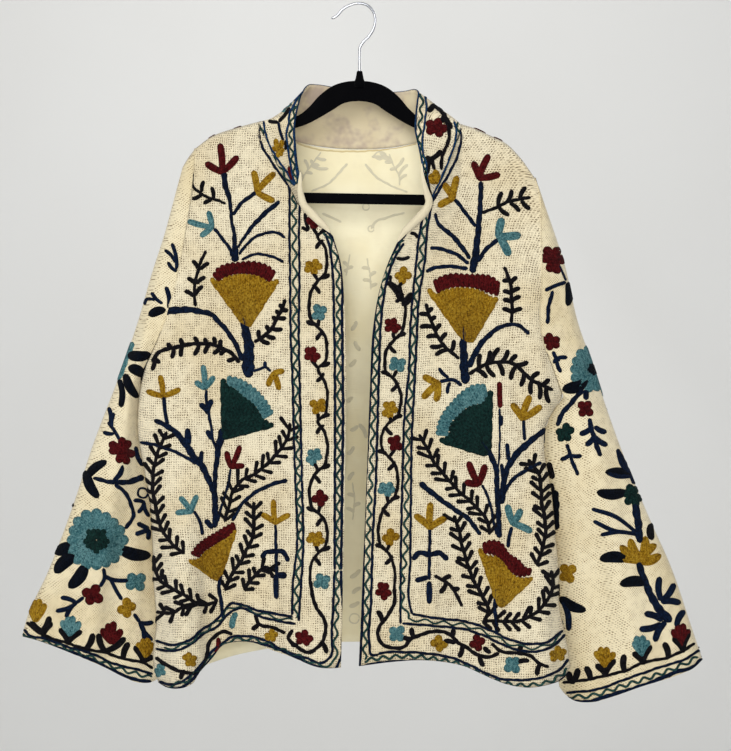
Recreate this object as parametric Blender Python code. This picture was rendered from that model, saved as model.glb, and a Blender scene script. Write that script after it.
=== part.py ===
"""An open-front embroidered jacket that hangs on a slim flocked hanger with a wire hook.

Outlines are given as they look from straight in front, on the hanger's plane. Across runs to the viewer's
right from the hook, and drop runs down from the place where the hook rests. Depth is how far a point lies
behind the hanger's plane, and is negative in front of it. Every length in the tables is in millimetres.
"""

import bpy
import numpy as np

MM = 0.001

# Cloth, seams and the place from which the outlines are seen
CLOTH = 1.6
LINING = 1.0
SEAM = 0.3
EYE_ACROSS = 6.9
EYE_DROP = 434.0
EYE_DISTANCE = 2000.0

# How full the garment hangs
ARMHOLE_FULLNESS = 20.0
CUFF_FULLNESS = 27.0
UNDERARM_DEPTH = -7.0
SIDE_FOLD_WIDTH = 45.0
BACK_FOLD_DEPTH = 6.0
SHOULDER_ROLL = 5.0
NECK_ROLL = 40.0
CUFF_REAR_LIFT = 8.0

# Fractions of each edge at which the cloth is measured
ARMHOLE_STEPS = (0, .0045, .013, .03, .07, .14, .24, .36, .5, .64, .77, .88, .95, .985, 1)
SIDE_STEPS = 12
SHOULDER_STEPS = (0, .04, .16, .32, .48, .66, .82, 1)
SLEEVE_STEPS = (0, .04, .13, .27, .43, .6, .77, .91, 1)

# Columns: across, drop. The shoulder runs from the armhole to the neck
SHOULDER_RIGHT = ((-193, 169), (-174, 155), (-140, 143), (-118, 137))
SHOULDER_LEFT = ((205, 203), (187, 178), (172, 163), (150, 152), (135, 145), (119, 140))

# Columns: across, drop. The armhole runs from the shoulder to the underarm
ARMHOLE_RIGHT = ((-193, 169), (-195, 199), (-204, 264), (-215, 324), (-227, 368), (-239, 398), (-252, 425))
ARMHOLE_LEFT = ((205, 203), (211, 225), (212, 267), (213, 329), (211, 370), (215, 395), (225, 422), (238, 458))

# Columns: across, drop, depth. The side runs from the underarm to the hem
SIDE_RIGHT = (
    (-252, 425, -7), (-258, 458, -8), (-260, 494, -9), (-252, 546, -10), (-246, 576, -11),
    (-243, 621, -12), (-241, 680, -13), (-238, 719, -14), (-241, 772, -15), (-236, 792, -15),
)
SIDE_LEFT = (
    (238, 458, -7), (228, 474, -8), (218, 493, -9), (217, 528, -10), (223, 560, -11),
    (229, 617, -12), (233, 658, -13), (234, 705, -14), (243, 748, -15), (247, 774, -15),
)

# Columns: across, drop, depth. The slope runs from the collar's end to where the fronts come together
SLOPE_RIGHT = ((-66, 235.5, -22), (-56, 244, -23), (-43, 256.5, -24), (-31, 271, -25))
SLOPE_LEFT = ((78, 239, -22), (68, 248, -23), (56, 262, -24), (43, 280, -25))

# Columns: across, drop. The front edge runs from the slope's foot to the hem
FRONT_EDGE_RIGHT = (
    (-31, 271), (-22, 303), (-18, 348), (-16, 404), (-16, 484), (-18, 600), (-20, 700), (-22, 776),
)
FRONT_EDGE_LEFT = (
    (43, 280), (33, 303), (23, 335), (15.5, 380), (12, 450), (8, 560), (3, 680), (-1, 774),
)

# Columns: across, drop. Hems run from the side to the front edge, and the back's from side to side
HEM_RIGHT = (
    (-236, 792), (-224, 799), (-209, 800), (-195, 794), (-187, 780), (-173, 765), (-159, 749),
    (-148, 746), (-122, 747), (-106, 754), (-80, 763), (-45, 776), (-22, 776),
)
HEM_LEFT = (
    (247, 774), (238, 788), (219, 796), (201, 799), (172, 795), (145, 784), (122, 774), (98, 769),
    (67, 767), (39, 769), (-1, 774),
)
HEM_BACK = (
    (-236, 792), (-205, 781), (-160, 765), (-100, 752), (-40, 746), (0, 745), (60, 748), (130, 755),
    (190, 764), (247, 774),
)

# Columns: across, drop, depth. The neck seam runs from the shoulder to the front edge, and the back's
# runs from shoulder to shoulder
NECK_RIGHT = (
    (-118, 137, 0), (-118.5, 139.5, -4.2), (-115.5, 148, -5.5), (-107, 164, -9), (-100, 181, -12),
    (-91, 198, -15), (-81, 216, -18), (-73, 233, -20.5),
)
NECK_LEFT = (
    (119, 140, 0), (119.5, 142.5, -4.2), (117, 152, -5.5), (110, 172, -9.5), (103, 190, -12.5),
    (96, 206, -15), (89, 220, -18), (85, 233, -20.5),
)
NECK_BACK = (
    (-118, 137, 0), (-118, 139.5, 4.2), (-112, 143, 14), (-98, 151, 26), (-75, 161, 33), (-38, 168, 37),
    (0, 170, 38), (38, 168, 37), (72, 161, 33), (98, 153, 26), (113, 146, 14), (119.5, 142.5, 4.2),
    (119, 140, 0),
)

# Columns: across, drop, depth, bulge. The collar's free edge, a row for each row of the neck seams
COLLAR_EDGE_RIGHT = (
    (-74, 128, -5.5, 0), (-75.5, 137, -8.5, 0), (-76, 147, -12, 0), (-75, 164, -17, 1), (-73.5, 182, -20, 1),
    (-71, 199, -21.5, 1), (-69, 215, -22, 0), (-66, 230, -22, 0),
)
COLLAR_EDGE_LEFT = (
    (66.5, 120, -3, 5), (65.5, 131, -7, 5), (65, 147, -12, 4), (70, 170, -17, 2), (73, 188, -20, 1),
    (75, 203, -21.5, 1), (77.5, 216, -22, 0), (81, 229, -22, 0),
)
COLLAR_EDGE_BACK = (
    (-74, 128, -5.5, 0), (-72, 119, -1, 0), (-68, 106, 8, 0), (-61, 95, 17, 1), (-49, 94, 25, 2),
    (-25, 98, 30, 2), (0, 101, 31, 2), (27, 103, 30, 2), (50, 102, 26, 2), (64, 99.5, 18, 2),
    (68.5, 103, 9, 4), (67.5, 112, 1, 5), (66.5, 120, -3, 5),
)
COLLAR_ROWS = 4

# Columns: drop, depth. How far each layer hangs from the hanger's plane
FRONT_HANG = ((140, -5), (200, -10), (300, -20), (425, -27), (600, -33), (800, -38))
FRONT_EDGE_HANG = ((233, -22.5), (270, -25), (330, -27), (425, -31), (600, -36), (776, -41))
BACK_HANG = ((140, 5), (200, 9), (300, 15), (425, 18), (600, 20), (800, 24))
BACK_MIDDLE_HANG = ((140, 39), (170, 38), (230, 35), (300, 31), (425, 27), (600, 26), (800, 28))
BACK_MIDDLE_WIDTH = 165.0
FRONT_EDGE_WIDTH = 70.0
SHOULDER_SHARE = .42

# Columns: across at the top, top drop, across at the foot, foot drop, half width, rise towards the viewer
FOLDS_RIGHT = (
    (-214, 540, -212, 800, 34, 17),
    (-168, 560, -158, 790, 36, -13),
    (-112, 330, -108, 790, 40, 5),
    (-60, 420, -48, 790, 34, 7),
    (-170, 200, -196, 470, 26, 4),
)
FOLDS_LEFT = (
    (214, 560, 204, 800, 44, 15),
    (140, 500, 122, 790, 46, -8),
    (66, 430, 58, 790, 36, 5),
    (186, 215, 214, 440, 24, 6),
    (150, 300, 196, 470, 30, -5),
)
FOLDS_BACK = (
    (-150, 260, -165, 790, 46, 12),
    (-70, 300, -84, 790, 44, -9),
    (10, 240, 6, 790, 50, 9),
    (92, 300, 104, 790, 42, -10),
    (160, 260, 176, 790, 44, 12),
)

# Columns: across, drop. Each sleeve's fold over the shoulder, outer edge, inner edge and cuff
SLEEVE_TOP_RIGHT = ((-207, 190), (-201, 180), (-193, 169))
SLEEVE_TOP_LEFT = ((214, 227), (210, 214), (205, 203))
SLEEVE_OUTER_RIGHT = (
    (-207, 190), (-216, 223), (-227, 264), (-246, 324), (-254, 353), (-282, 436), (-312, 515), (-334, 582),
    (-364, 662), (-390, 720), (-395, 739),
)
SLEEVE_OUTER_LEFT = (
    (214, 227), (227, 264), (239, 301), (258, 380), (267, 405), (293, 484), (315, 543), (344, 612),
    (362, 652), (388, 727), (401, 766),
)
SLEEVE_INNER_RIGHT = (
    (-252, 425), (-255.5, 455), (-253, 488), (-245, 530), (-237, 575), (-231, 630), (-228, 700), (-228, 784),
)
SLEEVE_INNER_LEFT = (
    (238, 458), (222, 483), (213, 508), (209, 545), (212, 590), (218, 650), (224, 720), (233, 798),
)
CUFF_RIGHT = (
    (-395, 739), (-376, 744), (-349, 754), (-320, 766), (-297, 776), (-275, 787), (-260, 793), (-244, 793),
    (-228, 784),
)
CUFF_LEFT = (
    (401, 766), (392, 775), (368, 786), (332, 797), (292, 811), (272, 816), (251, 814), (240, 807), (233, 798),
)
SLEEVE_OUTER_DEPTH = 6.0
SLEEVE_INNER_DEPTH = 25.0

# Columns: across at the top, top drop, across at the foot, foot drop, half width, rise towards the viewer
SLEEVE_FOLDS_RIGHT = (
    (-238, 300, -330, 770, 26, 6),
    (-262, 470, -292, 790, 22, -6),
)
SLEEVE_FOLDS_LEFT = (
    (240, 320, 330, 790, 26, 6),
    (256, 480, 292, 810, 22, -6),
)

# Columns: across, drop, depth, size. The lining's roll over each front edge
ROLL_RIGHT = (
    (-69, 196, -22, .25), (-69, 208, -22.2, .6), (-68, 221, -22.5, .9), (-64.5, 232, -23, 1.1),
    (-57, 241.5, -23.5, 1.1), (-49, 249.5, -24, 1), (-41, 257.5, -24.5, .8), (-34, 266.5, -25, .4),
)
ROLL_LEFT = (
    (72, 186, -19.7, .25), (73.2, 203, -21.4, .5), (76.6, 218, -22, .75), (79.5, 231, -23, 1.1),
    (74, 242, -23.5, 1.2), (65, 251, -24, 1.2), (54, 262, -24.5, .9), (44, 277, -25, .4),
)
# Columns: inset from the edge, stand-off from the cloth's face. The roll's section at size 1
ROLL_SECTION = ((6.5, 1), (4.6, 3), (1.4, 4), (-1.8, 2.7), (-2.7, -.2), (-1.6, -3), (1.6, -3.8))
ROLL_STEPS = 13

# The hanger and its hook
HANGER_THICKNESS = 5.0
HANGER_TILT = 1.0
# Columns: across, drop, half width. Half of the frame, from the middle of the arms to the middle of the bar
HANGER_RUN = (
    (0, 101, 12), (12, 102, 12), (24, 105.5, 12), (38, 115, 11.5), (53, 127.5, 8.6), (66, 136, 6.8),
    (80, 141, 6), (100, 144.6, 5.8), (118, 147.8, 5.8), (134, 153.4, 5.8), (150, 160, 5.8),
    (168, 168.8, 5.8), (178, 176, 5.6), (185, 186, 5.4), (188, 198, 5.2), (187.5, 209, 5.2),
    (183, 219.5, 5.4), (174, 226, 5.8), (150, 227.3, 6.2), (110, 227.3, 6.2), (70, 227.3, 6.2),
    (35, 227.3, 6.2), (0, 227.3, 6.2),
)
# Columns: drop, radius. The neck that takes the hook
HANGER_NECK = ((78, 2.9), (81, 3.7), (86, 4.6), (90, 6.2), (97, 6.4))
HOOK_RADIUS = 1.6
HOOK_SOCKET_FOOT = 95.0
# Columns: across, drop. The hook's middle line, from its tip to its foot
HOOK_RUN = (
    (-33, 16.4), (-29, 14.8), (-25, 11.4), (-20, 5.8), (-11, .6), (0, -1.6), (9, .9), (15.6, 7.6), (18.4, 17.5),
    (16.4, 28), (11, 37), (4.2, 44), (.6, 50), (0, 57), (0, 75), (0, 94.7),
)

# Columns: red, green, blue, roughness, metallic
FINISHES = {
    "open_cotton": (.78, .70, .55, .9, 0),
    "fine_cotton": (.80, .74, .58, .8, 0),
    "flock": (.01, .01, .012, .95, 0),
    "chrome": (.8, .8, .82, .15, 1),
}


def finish(name):
    """A plain material with the finish's colour, roughness and metallic value."""
    red, green, blue, roughness, metallic = FINISHES[name]
    material = bpy.data.materials.get(name) or bpy.data.materials.new(name)
    material.use_nodes = True
    shader = material.node_tree.nodes["Principled BSDF"]
    shader.inputs["Base Color"].default_value = (red, green, blue, 1)
    shader.inputs["Roughness"].default_value = roughness
    shader.inputs["Metallic"].default_value = metallic
    return material


def add_object(name, mesh, finish_name):
    """Puts a mesh into the scene as a named object with its finish."""
    mesh.materials.append(finish(finish_name))
    piece = bpy.data.objects.new(name, mesh)
    bpy.context.collection.objects.link(piece)
    return piece


def seen(points):
    """Across, drop and depth to metres: each point is carried along its line of sight to its depth."""
    points = np.asarray(points, float)
    reach = points[..., 2] / EYE_DISTANCE
    across = points[..., 0] + (points[..., 0] - EYE_ACROSS) * reach
    drop = points[..., 1] + (points[..., 1] - EYE_DROP) * reach
    return np.stack([across, points[..., 2], -drop], axis=-1) * MM


def along(rows, fractions):
    """A smooth curve through the rows at fractions of its length: a cubic from row to row, whose slope at
    each row is the mean of the slopes beside it."""
    rows = np.asarray(rows, float)
    fractions = np.asarray(fractions, float)
    length = np.concatenate([[0], np.cumsum(np.linalg.norm(np.diff(rows[:, :2], axis=0), axis=1))])
    length /= length[-1]
    slope = np.gradient(rows, length, axis=0)
    span = np.clip(np.searchsorted(length, fractions, side="right") - 1, 0, len(rows) - 2)
    width = (length[span + 1] - length[span])[:, None]
    u = (fractions - length[span])[:, None] / width
    start = (1 + 2 * u) * (1 - u) ** 2 * rows[span] + u * (1 - u) ** 2 * width * slope[span]
    end = u * u * (3 - 2 * u) * rows[span + 1] + u * u * (u - 1) * width * slope[span + 1]
    return start + end


def at_drop(rows, drop, column=0):
    """One column of a table whose rows hold drop in column 1, read at any drop."""
    rows = np.asarray(rows, float)
    return np.interp(drop, rows[:, 1], rows[:, column])


def hang(table, drop):
    """Depth from a table of drop and depth."""
    table = np.asarray(table, float)
    return np.interp(drop, table[:, 0], table[:, 1])


def blend_edges(top, foot, left, right, s, t):
    """A sheet between four edge curves: the two straight blends across and down, less the blend of the
    four corners that both hold."""
    s = np.asarray(s, float)[None, :, None]
    t = np.asarray(t, float)[:, None, None]
    across = (1 - s) * left[:, None] + s * right[:, None]
    down = (1 - t) * top[None] + t * foot[None]
    corners = (1 - t) * ((1 - s) * top[0] + s * top[-1]) + t * ((1 - s) * foot[0] + s * foot[-1])
    return across + down - corners


def smooth(q):
    """Rises from 0 to 1 with level ends, as 3q squared less 2q cubed."""
    q = np.clip(q, 0, 1)
    return q * q * (3 - 2 * q)


def rounded(q):
    """Rises from 0 to 1 along a quarter circle, steep at first."""
    return np.sqrt(1 - (1 - np.clip(q, 0, 1)) ** 2)


def folds(table, across, drop):
    """The sum of soft ridges: each is its rise, times a squared cosine across its width, times an even
    start and finish along its length."""
    total = np.zeros_like(across)
    for top_across, top_drop, foot_across, foot_drop, half_width, rise in table:
        down = np.clip((drop - top_drop) / (foot_drop - top_drop), 0, 1.2)
        middle = top_across + (foot_across - top_across) * down
        beside = np.clip(np.abs(across - middle) / half_width, 0, 1)
        total += rise * smooth(down * 1.6) * np.cos(beside * np.pi / 2) ** 2
    return total


def fractions_of(rows):
    """How far along its length each row of an edge lies."""
    steps = np.linalg.norm(np.diff(np.asarray(rows, float)[:, :2], axis=0), axis=1)
    length = np.concatenate([[0], np.cumsum(steps)])
    return length / length[-1]


def armhole(rows, facing):
    """The armhole's points with their depth: the front half, at facing -1, and the back half, at facing 1,
    part from each other as the halves of an ellipse do."""
    a = np.asarray(ARMHOLE_STEPS, float)
    path = along(rows, a)
    fullness = np.sqrt(np.clip(1 - (2 * a - 1) ** 2, 0, 1)) * ARMHOLE_FULLNESS + SEAM / 2
    depth = UNDERARM_DEPTH * a * a + facing * fullness
    return np.column_stack([path, depth])


def body_side(armhole_rows, side_rows, facing):
    """A body panel's outer edge: down the armhole and then down the side seam."""
    upper = armhole(armhole_rows, facing)
    lower = along(side_rows, np.linspace(0, 1, SIDE_STEPS + 1)[1:])
    lower[:, 2] += facing * SEAM / 2
    return np.concatenate([upper, lower])


def front_grid(side, shoulder, neck, slope, front_edge, hem, fold_table):
    """A front as a grid of across, drop and depth. Rows run down and columns run from the side to the
    front edge."""
    shoulder_part = along(shoulder, SHOULDER_STEPS)
    neck = np.concatenate([neck, slope]).astype(float)
    top = np.concatenate([shoulder_part, neck[1:, :2]])
    s = np.concatenate([np.asarray(SHOULDER_STEPS) * SHOULDER_SHARE, np.linspace(SHOULDER_SHARE, 1, len(neck))[1:]])
    t = fractions_of(side)
    edge = along(front_edge, t)
    grid = blend_edges(top, along(hem, s), side[:, :2], edge, s, t)
    edge = np.concatenate([neck[-len(slope) - 1:-1, :2], edge])
    across, drop = grid[..., 0], grid[..., 1]

    side_across = at_drop(side, drop)
    side_depth = np.where(drop < side[0, 1], side[0, 2], at_drop(side, drop, 2))
    field = hang(FRONT_HANG, drop) - folds(fold_table, across, drop)
    near_edge = smooth(1 - np.abs(across - at_drop(edge, drop)) / FRONT_EDGE_WIDTH)
    field += near_edge * smooth((drop - 170) / 60) * (hang(FRONT_EDGE_HANG, drop) - hang(FRONT_HANG, drop))
    depth = side_depth + (field - side_depth) * rounded(np.abs(across - side_across) / SIDE_FOLD_WIDTH)

    top_depth = np.concatenate([np.full(len(shoulder_part), -SEAM / 2), neck[1:, 2]])
    neck_roll = np.linspace(12, NECK_ROLL, len(neck) - 1)
    roll = np.concatenate([np.full(len(shoulder_part), SHOULDER_ROLL), neck_roll])
    below = drop - top[:, 1]
    depth = top_depth + (depth - top_depth) * rounded(below / roll)
    depth[:, 0] = side[:, 2]
    return np.stack([across, drop, depth], axis=-1)


def back_grid(side_right, side_left):
    """The back as a grid of across, drop and depth. Rows run down and columns run from the viewer's left."""
    right = along(SHOULDER_RIGHT, SHOULDER_STEPS)
    left = along(SHOULDER_LEFT, SHOULDER_STEPS)[::-1]
    neck = np.asarray(NECK_BACK, float)
    top = np.concatenate([right, neck[1:-1, :2], left])
    shoulder_share = np.asarray(SHOULDER_STEPS) * .25
    s = np.concatenate([shoulder_share, np.linspace(.25, .75, len(neck))[1:-1], 1 - shoulder_share[::-1]])
    t = (fractions_of(side_right) + fractions_of(side_left)) / 2
    grid = blend_edges(top, along(HEM_BACK, s), side_right[:, :2], side_left[:, :2], s, t)
    across, drop = grid[..., 0], grid[..., 1]

    viewer_right = across > 0
    side_across = np.where(viewer_right, at_drop(side_left, drop), at_drop(side_right, drop))
    side_depth = np.where(viewer_right, at_drop(side_left, drop, 2), at_drop(side_right, drop, 2))
    start = np.where(viewer_right, side_left[0, 1], side_right[0, 1])
    side_depth = np.where(drop < start, SEAM / 2, side_depth)
    underarm = np.where(viewer_right, SIDE_LEFT[0][1], SIDE_RIGHT[0][1])
    tuck = BACK_FOLD_DEPTH * (smooth((start + 60 - drop) / 50) + smooth((drop - underarm) / 25))
    middle = smooth(1.25 * (1 - np.abs(across) / BACK_MIDDLE_WIDTH))
    field = hang(BACK_HANG, drop) * (1 - middle) + hang(BACK_MIDDLE_HANG, drop) * middle
    field += folds(FOLDS_BACK, across, drop)
    beside = np.abs(across - side_across)
    turned = side_depth + tuck * rounded(beside / BACK_FOLD_DEPTH)
    depth = turned + (field - turned) * smooth(beside / 95)

    top_depth = np.concatenate([np.full(len(right), SEAM / 2), neck[1:-1, 2], np.full(len(left), SEAM / 2)])
    roll = np.concatenate([
        np.full(len(right), SHOULDER_ROLL), np.full(len(neck) - 2, NECK_ROLL), np.full(len(left), SHOULDER_ROLL),
    ])
    depth = top_depth + (depth - top_depth) * rounded((drop - top[:, 1]) / roll)
    depth[:, 0] = side_right[:, 2]
    depth[:, -1] = side_left[:, 2]
    return np.stack([across, drop, depth], axis=-1)


def sleeve_grid(armhole_rows, top, outer, inner, cuff, fold_table, outside):
    """A sleeve as a wrapped sheet: each row runs from the armhole's front edge, round the outer fold, to its
    rear edge, and below the underarm both ends lie together. At the armhole the sheet is as open as the
    armhole, shaped as a quarter ellipse, and lower down it is a closed loop that is flatter at its inner
    side, so that it passes behind the body. Outside is -1 at the viewer's left."""
    a = np.asarray(ARMHOLE_STEPS, float)
    below = np.linspace(0, 1, SIDE_STEPS + 1)[1:]
    right = np.concatenate([along(armhole_rows, a), along(inner, below)])
    right[:, 0] += 2 * SEAM * outside
    t = fractions_of(right)
    s = np.asarray(SLEEVE_STEPS, float)
    top = along(top, s)
    top[-1] = right[0]
    grid = blend_edges(top, along(cuff, s), along(outer, t), right, s, t)
    across, drop = grid[..., 0], grid[..., 1]
    s, t = s[None, :], t[:, None]

    opening = np.sqrt(np.clip(1 - (2 * a - 1) ** 2, 0, 1)) * ARMHOLE_FULLNESS
    opening = np.concatenate([np.maximum(opening - SEAM, 0), np.zeros(SIDE_STEPS)])[:, None]
    swell = CUFF_FULLNESS * smooth((t - .25) / .35)
    loop = np.where(s < .5, np.sqrt(1 - (1 - 2 * s) ** 2), np.sin(np.pi * s) ** 1.5)
    half = opening * np.sqrt(1 - (1 - s) ** 2) + swell * loop
    half = np.where(s > 0, half + SEAM / 2, 0)
    inner_depth = UNDERARM_DEPTH + (SLEEVE_INNER_DEPTH - UNDERARM_DEPTH) * (1 - (1 - below) ** 4)
    inner_depth = np.concatenate([UNDERARM_DEPTH * a * a, inner_depth])[:, None]
    middle = SLEEVE_OUTER_DEPTH * smooth(2 * t) * (1 - s) + inner_depth * s
    crease = folds(fold_table, across, drop) * np.sin(np.pi * s)
    front = np.stack([across, drop, middle - half - crease], axis=-1)
    lift = CUFF_REAR_LIFT * np.sin(np.pi * s) * t ** 3
    rear = np.stack([across, drop - lift, middle + half - crease * .5], axis=-1)
    return np.concatenate([front[:, ::-1], rear[:, 1:]], axis=1)


def collar_grid():
    """The collar as a grid in metres: rows run from the neck seam up to the free edge, and columns from the viewer's
    left front end, round the back, to the other front end. A bulge swells it between seam and edge."""
    seam = np.concatenate([NECK_RIGHT[::-1], NECK_BACK[1:-1], NECK_LEFT]).astype(float)
    edge = np.concatenate([COLLAR_EDGE_RIGHT[::-1], COLLAR_EDGE_BACK[1:-1], COLLAR_EDGE_LEFT]).astype(float)
    gap = edge[:, :3] - seam
    seam = seam + gap / np.linalg.norm(gap, axis=1)[:, None] * SEAM * 2.4
    v = np.linspace(0, 1, COLLAR_ROWS + 1)[:, None, None]
    flat = seen(seam + (edge[:, :3] - seam) * v)
    swell = edge[:, 3] * 4 * v[..., 0] * (1 - v[..., 0])
    return flat + normals(flat) * swell[..., None] * MM


def normals(points, flip=False):
    """Unit vectors that point out of a grid: the step down crossed with the step across."""
    out = np.cross(np.gradient(points, axis=0), np.gradient(points, axis=1))
    out /= np.linalg.norm(out, axis=2)[..., None]
    return -out if flip else out


def unit(*vector):
    """A vector at length 1."""
    vector = np.asarray(vector, float)
    return vector / np.linalg.norm(vector)


def add_wall(name, outer, inward, thickness, finish_name, flip=False, ring=False, keep=None):
    """A closed wall on a grid: its outer face, the same face moved inwards by the thickness, and a rim
    along every open edge. Keep marks the cells that are used."""
    rows, columns = outer.shape[:2]
    cells = columns if ring else columns - 1
    if keep is None:
        keep = np.ones((rows - 1, cells), bool)
    points = np.concatenate([outer.reshape(-1, 3), (outer + inward * thickness * MM).reshape(-1, 3)])
    j, i = np.nonzero(keep)
    k = (i + 1) % columns
    corners = np.stack([j * columns + i, (j + 1) * columns + i, (j + 1) * columns + k, j * columns + k], axis=1)
    if flip:
        corners = corners[:, [0, 3, 2, 1]]
    shift = rows * columns
    faces = np.concatenate([corners[:, [0, 1, 2]], corners[:, [0, 2, 3]]])
    inner = faces[:, ::-1] + shift
    sides = np.concatenate([corners[:, [0, 1]], corners[:, [1, 2]], corners[:, [2, 3]], corners[:, [3, 0]]])
    both = {tuple(side) for side in sides.tolist()}
    rim = np.array([side for side in sides.tolist() if (side[1], side[0]) not in both])
    rim_faces = np.concatenate([
        np.stack([rim[:, 1], rim[:, 0], rim[:, 0] + shift], axis=1),
        np.stack([rim[:, 1], rim[:, 0] + shift, rim[:, 1] + shift], axis=1),
    ])
    faces = np.concatenate([faces, inner, rim_faces])
    used, faces = np.unique(faces, return_inverse=True)
    mesh = bpy.data.meshes.new(name)
    mesh.from_pydata(points[used].tolist(), [], faces.reshape(-1, 3).tolist())
    mesh.shade_smooth()
    mesh.set_sharp_from_angle(angle=np.radians(50))
    return add_object(name, mesh, finish_name)


def add_jacket():
    """The ten cloth pieces."""
    right_front_side = body_side(ARMHOLE_RIGHT, SIDE_RIGHT, -1)
    left_front_side = body_side(ARMHOLE_LEFT, SIDE_LEFT, -1)
    right_back_side = body_side(ARMHOLE_RIGHT, SIDE_RIGHT, 1)
    left_back_side = body_side(ARMHOLE_LEFT, SIDE_LEFT, 1)
    arm_rows = len(ARMHOLE_STEPS)
    arm = slice(0, arm_rows - 3)
    side = slice(arm_rows - 3, None)
    shoulder = len(SHOULDER_STEPS)
    neck_front = len(NECK_RIGHT)
    neck_back = len(NECK_BACK)

    fronts = {}
    for name, rest in (
        ("front_right", (right_front_side, SHOULDER_RIGHT, NECK_RIGHT, SLOPE_RIGHT, FRONT_EDGE_RIGHT,
                         HEM_RIGHT, FOLDS_RIGHT)),
        ("front_left", (left_front_side, SHOULDER_LEFT, NECK_LEFT, SLOPE_LEFT, FRONT_EDGE_LEFT,
                        HEM_LEFT, FOLDS_LEFT)),
    ):
        points = seen(front_grid(*rest))
        flip = name == "front_left"
        fronts[name] = (points, -normals(points, flip), flip)
    back = seen(back_grid(right_back_side, left_back_side))
    back_in = -normals(back, True)
    sleeves = {}
    for name, rest, flip in (
        ("sleeve_right", (ARMHOLE_RIGHT, SLEEVE_TOP_RIGHT, SLEEVE_OUTER_RIGHT, SLEEVE_INNER_RIGHT,
                          CUFF_RIGHT, SLEEVE_FOLDS_RIGHT, -1), True),
        ("sleeve_left", (ARMHOLE_LEFT, SLEEVE_TOP_LEFT, SLEEVE_OUTER_LEFT, SLEEVE_INNER_LEFT, CUFF_LEFT,
                         SLEEVE_FOLDS_LEFT, 1), False),
    ):
        points = seen(sleeve_grid(*rest))
        sleeves[name] = (points, -normals(points, flip), flip)
    collar = collar_grid()
    collar_in = -normals(collar)

    # Walls that meet at a seam share one direction through the cloth
    for name, sleeve_name, sign, column, neck_columns in (
        ("front_right", "sleeve_right", 1, 0, slice(neck_front - 1, None, -1)),
        ("front_left", "sleeve_left", -1, -1, slice(-neck_front, None)),
    ):
        points, inward, _ = fronts[name]
        sleeve, sleeve_in, _ = sleeves[sleeve_name]
        through = unit(sign, 0, 0)
        down = unit(0, 0, -1)
        for rows, front_side in ((inward, 0), (back_in, column)):
            rows[side, front_side] = through
        for rows, sleeve_column, panel_column in ((inward, 0, 0), (back_in, -1, column)):
            shared = rows[arm, panel_column] + sleeve_in[arm, sleeve_column]
            shared /= np.linalg.norm(shared, axis=1)[:, None]
            rows[arm, panel_column] = shared
            sleeve_in[arm, sleeve_column] = shared
            sleeve_in[arm_rows - 1:, sleeve_column] = -through
        tip = unit(sign, 0, -1)
        inward[0, 0] = tip
        back_in[0, column] = tip
        sleeve_in[0] = down
        sleeve_in[0, [0, len(SLEEVE_STEPS) - 1, -1]] = tip
        inward[0, 1:shoulder] = down
        collar_columns = np.arange(collar.shape[1])[neck_columns]
        neck = slice(shoulder - 1, shoulder - 1 + neck_front)
        shared = inward[0, neck] + collar_in[0, collar_columns]
        shared[0] = down
        shared /= np.linalg.norm(shared, axis=1)[:, None]
        inward[0, neck] = shared
        collar_in[0, collar_columns] = shared
    down = unit(0, 0, -1)
    back_in[0, 1:shoulder] = down
    back_in[0, -shoulder:-1] = down
    back_neck = np.arange(shoulder - 1, shoulder - 1 + neck_back)
    collar_neck = np.arange(neck_front - 1, neck_front - 1 + neck_back)
    shared = back_in[0, back_neck] + collar_in[0, collar_neck]
    shared[[0, -1]] = down
    shared /= np.linalg.norm(shared, axis=1)[:, None]
    back_in[0, back_neck] = shared
    collar_in[0, collar_neck] = shared

    for name, (points, inward, flip) in fronts.items():
        add_wall(name, points, inward, CLOTH, "open_cotton", flip)
    add_wall("back", back, back_in, CLOTH, "open_cotton", True)
    for name, (points, inward, flip) in sleeves.items():
        keep = np.ones((points.shape[0] - 1, points.shape[1]), bool)
        keep[:arm_rows - 1, -1] = False
        add_wall(name, points, inward, CLOTH, "open_cotton", flip, ring=True, keep=keep)
    add_wall("collar", collar, collar_in, CLOTH, "open_cotton")

    # The linings lie on the inner faces
    lift = (CLOTH + SEAM) * MM
    keep = np.zeros((back.shape[0] - 1, back.shape[1] - 1), bool)
    first_low_row = 6
    keep[first_low_row:, 3:-3] = True
    keep[:, shoulder + 1:-shoulder - 1] = True
    add_wall("back_lining", back + back_in * lift, back_in, LINING, "fine_cotton", True, keep=keep)
    keep = np.zeros((COLLAR_ROWS, collar.shape[1] - 1), bool)
    keep[:, neck_front + 1:-neck_front - 1] = True
    add_wall("collar_lining", collar + collar_in * lift, collar_in, LINING, "fine_cotton", keep=keep)


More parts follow.
